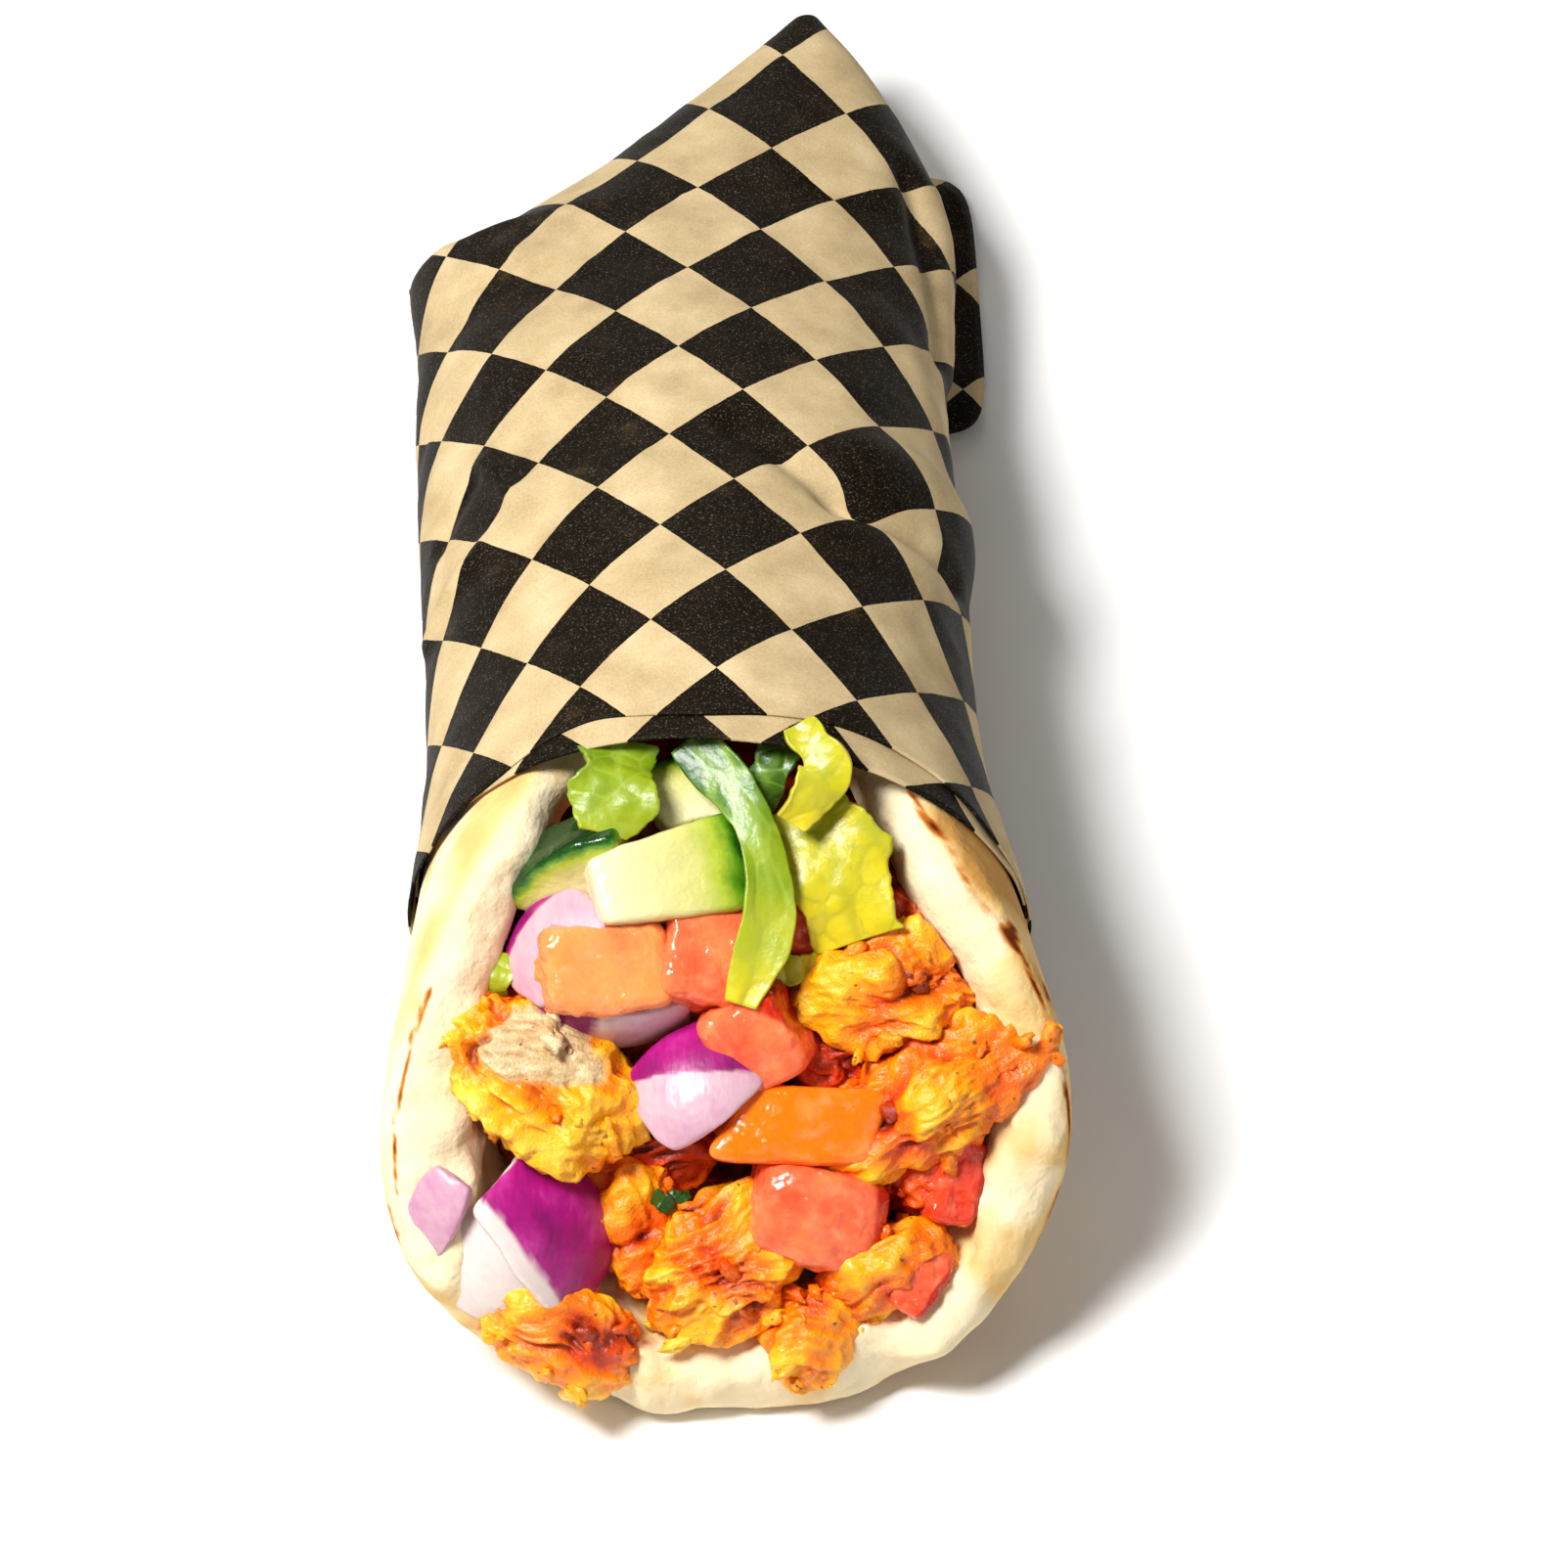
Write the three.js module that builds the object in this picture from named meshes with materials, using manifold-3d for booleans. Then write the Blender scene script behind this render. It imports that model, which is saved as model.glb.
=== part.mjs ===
// Gyro wrap: a round pita rolled into an open-fronted scoop, filled with chicken and salad,
// and held in a sleeve of greaseproof paper that is folded to a point behind.
// Millimetres, +Z up. +Y runs from the mouth to the folded tail, and the wrap lies on z = 0.
import * as THREE from "three";
import { ParametricGeometry } from "three/addons/geometries/ParametricGeometry.js";
import { mergeVertices } from "three/addons/utils/BufferGeometryUtils.js";
import Module from "manifold-3d";

const wasm = await Module();
wasm.setup();

// Driving dimensions
const LENGTH = 208; // from the pita's front lip to the tip of the paper's tail
const FRONT_Y = -LENGTH / 2;
const TIP_Y = LENGTH / 2;
const PITA_RADIUS = 75;
const PITA_THICK = 9;
const PAPER_THICK = 0.8; // several layers that lie on each other
const CLEARANCE = 0.3; // between neighbours that touch on the real wrap
const PRESSED_FLAT = 0.8; // how much of the round underside the weight presses flat

// The rolled pita's middle surface: an oval section that changes along Y
const MOUTH_HALF_WIDTH = 38.5;
const SLEEVE_HALF_WIDTH = 28.2;
const FLARE_FROM_Y = -98;
const FLARE_TO_Y = -18;
const MOUTH_HALF_HEIGHT = 29;
const TAPER_DROP = 16; // loss of half height over TAPER_RUN
const TAPER_RUN = 164;
const TAPER_POWER = 1.6;
const MOUTH_SHIFT = 0.6; // the mouth sits a little to the right of the sleeve
const MOUTH_SKEW = 0.035; // and its left corner reaches further forward

// The paper sleeve, open in front, and its solid folded tail
const SLEEVE_FRONT_Y = -47;
const SLEEVE_SKEW = 4.5; // its right edge reaches further forward than its left
const SLEEVE_SIDE_DIP = 2.5;
const CAVITY_END_Y = 53;
const CAVITY_ROUND = 9; // length of the dome that ends the inside
const CAVITY_ROUND_FROM_Y = CAVITY_END_Y - CAVITY_ROUND;
const TAIL_FROM_Y = 36;
const TAIL_FULL_Y = 64;
const TAIL_LEFT = -33.9;
const TAIL_RIGHT = 35.6;
const TAIL_FOLD_Y = 63.4; // where the diagonal fold leaves the left side
const TAIL_FOLD_BEND = 0.78; // below 1 the fold bulges out less than a straight line
const TAIL_TIP_LEFT = 17.2;
const TAIL_TIP_RIGHT = 20.8;
const TAIL_TOP = 37;
const TAIL_TIP_TOP = 22.5;
const TAIL_TIP_BOTTOM = 18.5;

// The loose end of the paper, tucked under the tail and seen beyond its right side
const FLAP_EDGE_X = 40.3;
const FLAP_ROOT_X = 16;
const FLAP_FRONT_Y = 49;
const FLAP_BACK_Y = 93;
const FLAP_CORNER = 7; // its front and back corners are folded off
const FLAP_BOTTOM = 0.4;
const FLAP_THICK = 2.4;

// The mouth: a slanted plane across the lip, with its own frame for the filling.
// In it x runs to the right, y up the slope and z out of the wrap.
const MOUTH_SLOPE = THREE.MathUtils.degToRad(43.5);
const MOUTH_CENTRE = new THREE.Vector3(0, -75, 30);
const CORE_LEVEL = -5; // of the packed filling's face, in the mouth's frame
const CORE_BUMP = 1.3;
const CORE_END_Y = 34;

// Colours read from the photograph
const PITA_COLOUR = 0xf6e6c0;
const PAPER_COLOUR = 0xc9a877;
const CORE_COLOUR = 0x8a3a10;
const CHICKEN_COLOUR = 0xe58a1c;
const TOMATO_COLOUR = 0xe8602c;
const ONION_COLOUR = 0xb35a9c;
const CUCUMBER_COLOUR = 0xc9cf7a;
const LETTUCE_COLOUR = 0x9fbb25;

const MERGE_WITHIN = 1e-3;

// Smooth step from 0 at x = from to 1 at x = to.
const step = (x, from, to) => THREE.MathUtils.smoothstep(x, from, to);
const mix = THREE.MathUtils.lerp;
const radians = THREE.MathUtils.degToRad;

// Section of the roll

// 1 in the flared mouth, 0 in the sleeve.
const flare = (y) => 1 - step(y, FLARE_FROM_Y, FLARE_TO_Y);

const halfWidth = (y) => mix(SLEEVE_HALF_WIDTH, MOUTH_HALF_WIDTH, flare(y));

const halfHeight = (y) =>
  MOUTH_HALF_HEIGHT - TAPER_DROP * Math.max(0, (y - FRONT_Y) / TAPER_RUN) ** TAPER_POWER;

// The pita lies on the ground in front and on the paper further back.
const underlay = (y) => (PAPER_THICK + CLEARANCE) * step(y, SLEEVE_FRONT_Y - 18, SLEEVE_FRONT_Y - 8);

// Ramanujan's length of the section's oval.
function girth(y) {
  const a = halfWidth(y);
  const b = halfHeight(y);
  return Math.PI * (3 * (a + b) - Math.sqrt((3 * a + b) * (a + 3 * b)));
}

// Point of the roll at an angle (0 below, rising on the right), offset out of the middle surface.
function rollPoint(angle, y, offset) {
  const a = halfWidth(y);
  const b = halfHeight(y);
  const normal = new THREE.Vector2(Math.sin(angle) / a, -Math.cos(angle) / b).normalize();
  const centre = b + PITA_THICK / 2 + underlay(y) - PRESSED_FLAT;
  const floor = underlay(y) + PITA_THICK / 2 - offset;
  const x = a * Math.sin(angle) + offset * normal.x + MOUTH_SHIFT * flare(y);
  const z = centre - b * Math.cos(angle) + offset * normal.y;
  return new THREE.Vector3(x, y + MOUTH_SKEW * x * flare(y), Math.max(z, floor));
}

// Geometry helpers

// Moves each vertex of a geometry to where shape(point) says.
function reshape(geometry, shape) {
  const position = geometry.attributes.position;
  const point = new THREE.Vector3();
  for (let i = 0; i < position.count; i++) {
    point.copy(shape(point.fromBufferAttribute(position, i)));
    position.setXYZ(i, point.x, point.y, point.z);
  }
  return geometry;
}

// A closed geometry as a solid for joining and cutting.
function toSolid(geometry) {
  const bare = new THREE.BufferGeometry().setAttribute("position", geometry.attributes.position);
  const merged = mergeVertices(bare.setIndex(geometry.index), MERGE_WITHIN);
  const corners = merged.index.array;
  const triangles = [];
  for (let i = 0; i < corners.length; i += 3) {
    const [a, b, c] = corners.subarray(i, i + 3);
    if (a !== b && b !== c && c !== a) triangles.push(a, b, c);
  }
  const mesh = { numProp: 3, vertProperties: merged.attributes.position.array };
  return new wasm.Manifold(new wasm.Mesh({ ...mesh, triVerts: new Uint32Array(triangles) }));
}

function toGeometry(solid) {
  const mesh = solid.getMesh();
  const geometry = new THREE.BufferGeometry();
  geometry.setAttribute("position", new THREE.BufferAttribute(mesh.vertProperties, 3));
  geometry.setIndex(new THREE.BufferAttribute(mesh.triVerts, 1));
  geometry.computeVertexNormals();
  return geometry;
}

// What a cut leaves of a piece: its largest body, without loose scraps.
function largestBody(solid) {
  return solid.decompose().reduce((best, body) => (body.volume() > best.volume() ? body : best));
}

// Smooth lumps: a product of sines of unit height, turned by a seed.
function lumps(point, waves, seed) {
  const [x, y, z] = point.toArray();
  return (
    Math.sin(waves * x + 1.7 * seed) * Math.cos(waves * y - 2.3 * seed) +
    0.6 * Math.sin(1.9 * waves * z + 0.9 * seed) * Math.cos(1.6 * waves * x - seed)
  );
}

// Pita: a flat round loaf with a half-round rim, rolled up around Y

const PITA_RINGS = 9;
const PITA_RIM_STEPS = 4;
const PITA_SEGMENTS = 56;
const PITA_SOFTNESS = 0.09; // share by which the thickness swells and dips
const PITA_RAGGED = 0.9; // how far the rim wanders in and out

function pitaProfile(grow) {
  const rim = PITA_THICK / 2;
  const flat = Array.from({ length: PITA_RINGS }, (_, i) => ((PITA_RADIUS - rim) * i) / PITA_RINGS);
  const half = rim + grow;
  const arc = Array.from({ length: PITA_RIM_STEPS + 1 }, (_, i) => {
    const turn = Math.PI * (i / PITA_RIM_STEPS - 0.5);
    return new THREE.Vector2(PITA_RADIUS - rim + half * Math.cos(turn), half * Math.sin(turn));
  });
  const lower = flat.map((radius) => new THREE.Vector2(radius, -half));
  const upper = flat.map((radius) => new THREE.Vector2(radius, half)).reverse();
  return [...lower, ...arc, ...upper];
}

function pita(grow = 0) {
  const loaf = new THREE.LatheGeometry(pitaProfile(grow), PITA_SEGMENTS);
  return reshape(loaf, ({ x: across, y: offset, z: along }) => {
    const turn = Math.atan2(across, along);
    const radius = Math.hypot(across, along);
    const swell = 1 + PITA_SOFTNESS * Math.sin(5 * turn + radius / 9) * step(radius, 20, PITA_RADIUS);
    const ragged = 1 + (PITA_RAGGED / PITA_RADIUS) * Math.sin(7 * turn) * step(radius, 40, PITA_RADIUS);
    const y = FRONT_Y + PITA_RADIUS + along * ragged;
    const inwards = offset < 0 ? swell : 1;
    return rollPoint((2 * Math.PI * across * ragged) / girth(y), y, offset * inwards);
  });
}

// Paper sleeve: a cup round the roll, closed by a solid flat tail with a diagonal fold

const SLEEVE_ROUND = 44;
const SLEEVE_INSIDE = 12;
const SLEEVE_OUTSIDE = 18;

const sleeveFront = (angle) =>
  SLEEVE_FRONT_Y - SLEEVE_SKEW * Math.sin(angle) - SLEEVE_SIDE_DIP * Math.sin(angle) ** 2;

// Section of the flattened tail: an oval between its left and right folds.
function tailPoint(angle, y) {
  const along = THREE.MathUtils.clamp((y - TAIL_FOLD_Y) / (TIP_Y - TAIL_FOLD_Y), 0, 1);
  const fall = THREE.MathUtils.clamp((y - CAVITY_END_Y) / (TIP_Y - CAVITY_END_Y), 0, 1);
  const left = mix(TAIL_LEFT, TAIL_TIP_LEFT, along ** TAIL_FOLD_BEND);
  const right = mix(TAIL_RIGHT, TAIL_TIP_RIGHT, along ** 1.9);
  const top = mix(TAIL_TOP, TAIL_TIP_TOP, fall);
  const bottom = mix(0, TAIL_TIP_BOTTOM, along ** 1.3);
  const x = mix(left, right, (1 + Math.sin(angle)) / 2);
  return new THREE.Vector3(x, y, mix(bottom, top, (1 - Math.cos(angle)) / 2));
}

function sleeveOutside(angle, y, offset) {
  const tube = rollPoint(angle, y, offset);
  return tube.lerp(tailPoint(angle, y), step(y, TAIL_FROM_Y, TAIL_FULL_Y));
}

// The inside ends in a round dome that closes on one point.
function sleeveInside(angle, y, offset) {
  const closing = THREE.MathUtils.clamp((y - CAVITY_ROUND_FROM_Y) / CAVITY_ROUND, 0, 1);
  const wall = rollPoint(angle, y, offset);
  const middle = new THREE.Vector3(0, y, halfHeight(y) + PITA_THICK / 2);
  return wall.lerp(middle, 1 - Math.sqrt(1 - closing ** 2));
}

function sleeve(grow = 0) {
  const inner = PITA_THICK / 2 + CLEARANCE - grow;
  const outer = PITA_THICK / 2 + CLEARANCE + PAPER_THICK + grow;
  const rows = SLEEVE_INSIDE + SLEEVE_OUTSIDE + 1;
  const point = (around, row, target) => {
    const angle = -2 * Math.PI * around;
    const front = sleeveFront(angle) - grow;
    const index = Math.round(row * rows);
    if (index <= SLEEVE_INSIDE) {
      const y = mix(CAVITY_END_Y, front, index / SLEEVE_INSIDE);
      target.copy(sleeveInside(angle, y, inner));
    } else {
      const y = mix(front, TIP_Y, (index - SLEEVE_INSIDE - 1) / SLEEVE_OUTSIDE);
      const onTip = y >= TIP_Y;
      target.copy(onTip ? tailPoint(Math.PI / 2, TIP_Y) : sleeveOutside(angle, y, outer));
    }
  };
  return new ParametricGeometry(point, SLEEVE_ROUND, rows);
}

// The flap is a flat tongue with its two outer corners folded off.
function flap() {
  const outline = new THREE.Shape([
    new THREE.Vector2(FLAP_ROOT_X, FLAP_FRONT_Y),
    new THREE.Vector2(FLAP_EDGE_X - FLAP_CORNER, FLAP_FRONT_Y),
    new THREE.Vector2(FLAP_EDGE_X, FLAP_FRONT_Y + FLAP_CORNER),
    new THREE.Vector2(FLAP_EDGE_X, FLAP_BACK_Y - FLAP_CORNER),
    new THREE.Vector2(FLAP_EDGE_X - FLAP_CORNER, FLAP_BACK_Y),
    new THREE.Vector2(FLAP_ROOT_X, FLAP_BACK_Y),
  ]);
  const options = { depth: FLAP_THICK, bevelEnabled: false };
  return new THREE.ExtrudeGeometry(outline, options).translate(0, 0, FLAP_BOTTOM);
}

// Packed filling: what runs through the roll behind the pieces that show

const CORE_ROUND = 24;
const CORE_FACE_RINGS = 5;
const CORE_WALL_RINGS = 5;

// Where the roll's inner wall meets a plane parallel to the mouth, found in a few steps.
function wallOnPlane(angle, offset, level) {
  let point = rollPoint(angle, MOUTH_CENTRE.y, offset);
  for (let i = 0; i < 6; i++) {
    const rise = (point.z - MOUTH_CENTRE.z) * Math.cos(MOUTH_SLOPE) - level;
    point = rollPoint(angle, MOUTH_CENTRE.y + rise / Math.sin(MOUTH_SLOPE), offset);
  }
  return point;
}

function core() {
  const offset = -PITA_THICK / 2 - PITA_THICK * PITA_SOFTNESS - CLEARANCE;
  const outwards = new THREE.Vector3(0, -Math.sin(MOUTH_SLOPE), Math.cos(MOUTH_SLOPE));
  const lowest = wallOnPlane(0, offset, CORE_LEVEL);
  const highest = wallOnPlane(Math.PI, offset, CORE_LEVEL);
  const middle = lowest.clone().lerp(highest, 0.5);
  const rows = CORE_FACE_RINGS + CORE_WALL_RINGS + 1;
  const point = (around, row, target) => {
    const angle = -2 * Math.PI * around;
    const index = Math.round(row * rows);
    const rim = wallOnPlane(angle, offset, CORE_LEVEL);
    if (index <= CORE_FACE_RINGS) {
      const out = index / CORE_FACE_RINGS;
      target.copy(middle).lerp(rim, out);
      target.addScaledVector(outwards, CORE_BUMP * lumps(target, 0.35, 2) * (1 - out ** 4));
    } else if (index < rows) {
      const y = mix(rim.y, CORE_END_Y, (index - CORE_FACE_RINGS) / CORE_WALL_RINGS);
      target.copy(rollPoint(angle, y, offset));
    } else {
      target.set(0, CORE_END_Y, halfHeight(CORE_END_Y) + PITA_THICK / 2);
    }
  };
  return new ParametricGeometry(point, CORE_ROUND, rows);
}

// Pieces of the filling, each built about its own middle and placed in the mouth's frame

const CRAG = 0.16; // share of a lump's size that its crags stand out

const CRAG_WAVES = 2.6;

// Torn chicken: an oval lump with crags, drawn to a point by taper at its right end.
function chicken({ size, seed, taper = 0 }, grow) {
  const half = new THREE.Vector3(...size).divideScalar(2);
  return reshape(new THREE.SphereGeometry(1, 10, 7), (p) => {
    const fine = 0.4 * lumps(p, 2 * CRAG_WAVES, seed + 1);
    const crag = 1 + CRAG * (lumps(p, CRAG_WAVES, seed) + fine);
    const narrow = 1 - taper * Math.max(0, p.x);
    const direction = p.clone();
    p.multiply(half).multiplyScalar(crag);
    p.y *= narrow;
    p.z *= narrow;
    return p.addScaledVector(direction, grow);
  });
}

const DICE_SQUARENESS = 5; // power of the rounded block: 2 would be an egg
const DICE_UNEVEN = 0.05;

// Diced tomato: a block with soft corners, its top sheared sideways by lean.
function tomato({ size, seed, lean = 0 }, grow) {
  const half = new THREE.Vector3(...size).divideScalar(2).addScalar(grow);
  return reshape(new THREE.BoxGeometry(2, 2, 2, 3, 3, 3), (p) => {
    const reach = p.toArray().reduce((sum, c) => sum + Math.abs(c) ** DICE_SQUARENESS, 0);
    p.multiplyScalar(reach ** (-1 / DICE_SQUARENESS));
    p.multiplyScalar(1 + DICE_UNEVEN * lumps(p, 1.4, seed));
    p.multiply(half);
    p.x += lean * p.y;
    return p;
  });
}

const PETAL_POINT = 0.3; // how much a petal narrows towards its two ends

// Onion petal: a patch of a round layer, skin side up, with the middle of its bulge at the origin.
function onion({ bend, arc, thick }, grow) {
  const [length, width] = arc.map((degrees) => radians(degrees) + (2 * grow) / bend);
  return reshape(new THREE.BoxGeometry(1, 1, 1, 6, 4, 1), (p) => {
    const narrow = 1 - PETAL_POINT * (2 * p.x) ** 2;
    const turn = length * p.x;
    const lift = width * p.y * narrow;
    const radius = bend + p.z * (thick + 2 * grow);
    p.set(Math.sin(turn) * Math.cos(lift), Math.sin(lift), Math.cos(turn) * Math.cos(lift));
    return p.multiplyScalar(radius).add(new THREE.Vector3(0, 0, -bend));
  });
}

// Cucumber: a wedge of a round slice, with the skin along its arc, cut off before the seeds.
function cucumber({ bend, arc, inner, thick }, grow) {
  const half = radians(arc) / 2;
  const outline = new THREE.Shape();
  const middle = (bend + inner) / 2;
  const edge = bend + grow;
  outline.absarc(0, -middle, edge, Math.PI / 2 - half, Math.PI / 2 + half, false);
  outline.lineTo(-Math.sin(half) * inner - grow, Math.cos(half) * inner - middle - grow);
  outline.lineTo(Math.sin(half) * inner + grow, Math.cos(half) * inner - middle - grow);
  const depth = thick + 2 * grow;
  const options = { depth, steps: 1, curveSegments: 8, bevelEnabled: false };
  return new THREE.ExtrudeGeometry(outline, options).translate(0, 0, -depth / 2);
}

const LEAF_THICK = 0.7;
const LEAF_RAGGED = 0.14; // share of the width that a torn edge wanders
const LEAF_END_TAPER = 0.5;

// Lettuce: a thin strip along a path in the mouth's frame, ruffled along its two edges.
function lettuce({ path, width, ruffle, seed }, grow) {
  const thick = LEAF_THICK + 2 * grow;
  const curve = new THREE.CatmullRomCurve3(path.map((point) => new THREE.Vector3(...point)));
  return reshape(new THREE.BoxGeometry(1, 1, 1, 4, 6, 1), (p) => {
    const t = p.y + 0.5;
    const tangent = curve.getTangentAt(t);
    const side = new THREE.Vector3().crossVectors(tangent, new THREE.Vector3(0, 0, 1)).normalize();
    const normal = new THREE.Vector3().crossVectors(side, tangent);
    const torn = 1 - LEAF_RAGGED * (1 - Math.sin(9 * t + seed));
    const ragged = torn - LEAF_END_TAPER * Math.abs(2 * t - 1) ** 6;
    const wave = ruffle * (2 * p.x) ** 2 * Math.sin(8 * t + 2 * seed + Math.sign(p.x));
    const place = curve.getPointAt(t).addScaledVector(tangent, 2 * p.y * grow);
    place.addScaledVector(side, p.x * (width * ragged + 2 * grow));
    return place.addScaledVector(normal, p.z * thick + wave);
  });
}

// The pieces that show, from the front of the heap to the back: at is the place in the mouth's
// frame, turn the rotation in degrees about x, y and z. A leaf's path gives its own place.
const PIECES = [
  { name: "lettuce_1", kind: lettuce, width: 6.6, ruffle: 0.5, seed: 1,
    path: [[-2.5, 42, 0.5], [4.4, 33, 5.4], [6.4, 22, 8.6], [2.4, 10.8, 9.6]] },
  { name: "lettuce_2", kind: lettuce, width: 11, ruffle: 0.9, seed: 2,
    path: [[-10.6, 42, -0.5], [-11.4, 37.4, 3.4], [-13, 31.5, 5.2]] },
  { name: "lettuce_3", kind: lettuce, width: 6.2, ruffle: 0.8, seed: 3,
    path: [[10.6, 43.6, 3.4], [13.6, 38.2, 6.4], [9.2, 32, 6.2]] },
  { name: "lettuce_4", kind: lettuce, width: 13, ruffle: 1.1, seed: 4,
    path: [[12.4, 34, 1.4], [15.2, 26, 5], [17.6, 17.6, 5.2]] },
  { name: "tomato_1", kind: tomato, at: [-13.6, 15.1, 3], turn: [-8, 6, 4],
    size: [14.6, 10.6, 11], seed: 1 },
  { name: "tomato_2", kind: tomato, at: [-1.2, 15.4, 2], turn: [-18, 8, -14],
    size: [11.6, 12.4, 11], seed: 2 },
  { name: "tomato_3", kind: tomato, at: [4.6, 6.4, 3], turn: [12, -12, 28],
    size: [11.4, 11.8, 11], seed: 3 },
  { name: "tomato_4", kind: tomato, at: [9.2, -4.6, 4], turn: [-10, 4, -5],
    size: [19.6, 9.6, 7], seed: 4, lean: 0.35 },
  { name: "tomato_5", kind: tomato, at: [10.4, -15.6, 3], turn: [8, 12, -16],
    size: [15.6, 11.4, 11], seed: 5 },
  { name: "cucumber_1", kind: cucumber, at: [-4.4, 26.4, 2.4], turn: [-14, 8, -52],
    bend: 18, inner: 6, arc: 58, thick: 8 },
  { name: "onion_1", kind: onion, at: [-21.4, -15.2, 6], turn: [-16, 44, -34],
    bend: 15, arc: [74, 62], thick: 4.4 },
  { name: "onion_6", kind: onion, at: [-26.6, -18, 2.6], turn: [-16, 40, -30],
    bend: 11, arc: [66, 58], thick: 3.4 },
  { name: "onion_2", kind: onion, at: [-3.6, 1.4, 6], turn: [-26, -14, 32],
    bend: 13, arc: [62, 54], thick: 4 },
  { name: "onion_3", kind: onion, at: [-34.2, -12.6, 8.6], turn: [4, -30, 62],
    bend: 16, arc: [36, 24], thick: 2.4 },
  { name: "onion_4", kind: onion, at: [-12.4, 8.2, 2.6], turn: [58, 0, -6],
    bend: 14, arc: [74, 34], thick: 3.6 },
  { name: "onion_5", kind: onion, at: [-20, 18.4, 3], turn: [-30, -38, 40],
    bend: 14, arc: [56, 46], thick: 3.2 },
  { name: "chicken_1", kind: chicken, at: [-22.2, 1.6, 1.5], turn: [0, 0, -34],
    size: [27, 18, 18], seed: 1 },
  { name: "chicken_2", kind: chicken, at: [26.4, -1.2, 3.6], turn: [0, -8, 28],
    size: [31, 15, 13], seed: 2, taper: 0.62 },
  { name: "tomato_7", kind: tomato, at: [27.4, -12.4, 2], turn: [0, 20, -16],
    size: [6, 10.4, 5], seed: 7 },
  { name: "tomato_8", kind: tomato, at: [23, -23.6, 3], turn: [0, 10, -34],
    size: [5, 8.4, 5], seed: 8 },
  { name: "chicken_3", kind: chicken, at: [20.6, 11.2, 1], turn: [0, 0, 12],
    size: [20, 13, 14], seed: 3 },
  { name: "chicken_4", kind: chicken, at: [0, -21.4, 1], turn: [0, 0, 22],
    size: [22, 16, 14], seed: 4 },
  { name: "chicken_5", kind: chicken, at: [17.6, -23, 0], turn: [0, 0, 24],
    size: [17, 11, 12], seed: 5 },
  { name: "chicken_6", kind: chicken, at: [9, -30.4, 2.4], turn: [18, 0, -18],
    size: [10, 12.6, 9], seed: 6 },
  { name: "chicken_7", kind: chicken, at: [-20.2, -28.4, 2.6], turn: [12, 0, -26],
    size: [20, 12, 10], seed: 7 },
  { name: "chicken_8", kind: chicken, at: [-10.4, -17.4, -3], turn: [0, 0, 16],
    size: [12, 18, 12], seed: 8 },
  { name: "chicken_9", kind: chicken, at: [-9, -8.2, -3.4], turn: [0, 0, 8],
    size: [16, 10, 10], seed: 9 },
  { name: "chicken_10", kind: chicken, at: [24.4, -11.4, -2.4], turn: [0, 0, 40],
    size: [13, 12, 11], seed: 10 },
  { name: "chicken_11", kind: chicken, at: [13, 2, -1.6], turn: [0, 0, 0],
    size: [10, 9, 9], seed: 11 },
  { name: "chicken_12", kind: chicken, at: [24, 20.6, -5.4], turn: [0, 0, -30],
    size: [13, 10, 9], seed: 12 },
  { name: "tomato_6", kind: tomato, at: [11, 19.4, -0.5], turn: [0, 0, -22],
    size: [10.4, 8, 8], seed: 6 },
  { name: "cucumber_2", kind: cucumber, at: [-16, 26.6, -0.4], turn: [-18, -24, 38],
    bend: 18, inner: 7, arc: 62, thick: 6 },
  { name: "cucumber_3", kind: cucumber, at: [-2.8, 35, -4], turn: [-30, 0, 12],
    bend: 18, inner: 9, arc: 44, thick: 5 },
  { name: "lettuce_5", kind: lettuce, width: 3.6, ruffle: 0.4, seed: 5,
    path: [[6.4, 14, 5.2], [10, 14.4, 4.8], [13.6, 15.2, 3.4]] },
  { name: "lettuce_6", kind: lettuce, width: 6, ruffle: 0.8, seed: 6,
    path: [[9.4, 44, -2.6], [7.6, 38.6, 1.4], [4.6, 33.4, 0.4]] },
  { name: "lettuce_7", kind: lettuce, width: 4.2, ruffle: 0.6, seed: 7,
    path: [[-28, 10.6, -1], [-26.6, 13.6, 1.4], [-25.6, 17, 0]] },
];

const COLOURS = new Map([
  [lettuce, LETTUCE_COLOUR],
  [tomato, TOMATO_COLOUR],
  [cucumber, CUCUMBER_COLOUR],
  [onion, ONION_COLOUR],
  [chicken, CHICKEN_COLOUR],
]);

// A piece in the mouth's frame, grown all round where it is to cut room for itself.
function placed(piece, grow) {
  const geometry = piece.kind(piece, grow);
  if (piece.at) {
    const turn = new THREE.Quaternion().setFromEuler(new THREE.Euler(...piece.turn.map(radians)));
    const place = new THREE.Vector3(...piece.at);
    geometry.applyMatrix4(new THREE.Matrix4().compose(place, turn, new THREE.Vector3(1, 1, 1)));
  }
  return toSolid(geometry);
}

// Assembly

function part(name, geometry, color, roughness) {
  const material = new THREE.MeshStandardMaterial({ color, roughness, metalness: 0 });
  const mesh = new THREE.Mesh(geometry, material);
  mesh.name = name;
  return mesh;
}

const wrap = new THREE.Group();
const mouth = new THREE.Group();
mouth.position.copy(MOUTH_CENTRE);
mouth.rotation.x = MOUTH_SLOPE;
mouth.updateMatrix();
wrap.add(mouth);

wrap.add(part("pita", toGeometry(toSolid(pita())), PITA_COLOUR, 0.85));
const paper = toSolid(sleeve()).add(toSolid(flap()));
wrap.add(part("paper_sleeve", toGeometry(paper), PAPER_COLOUR, 0.6));

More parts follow.
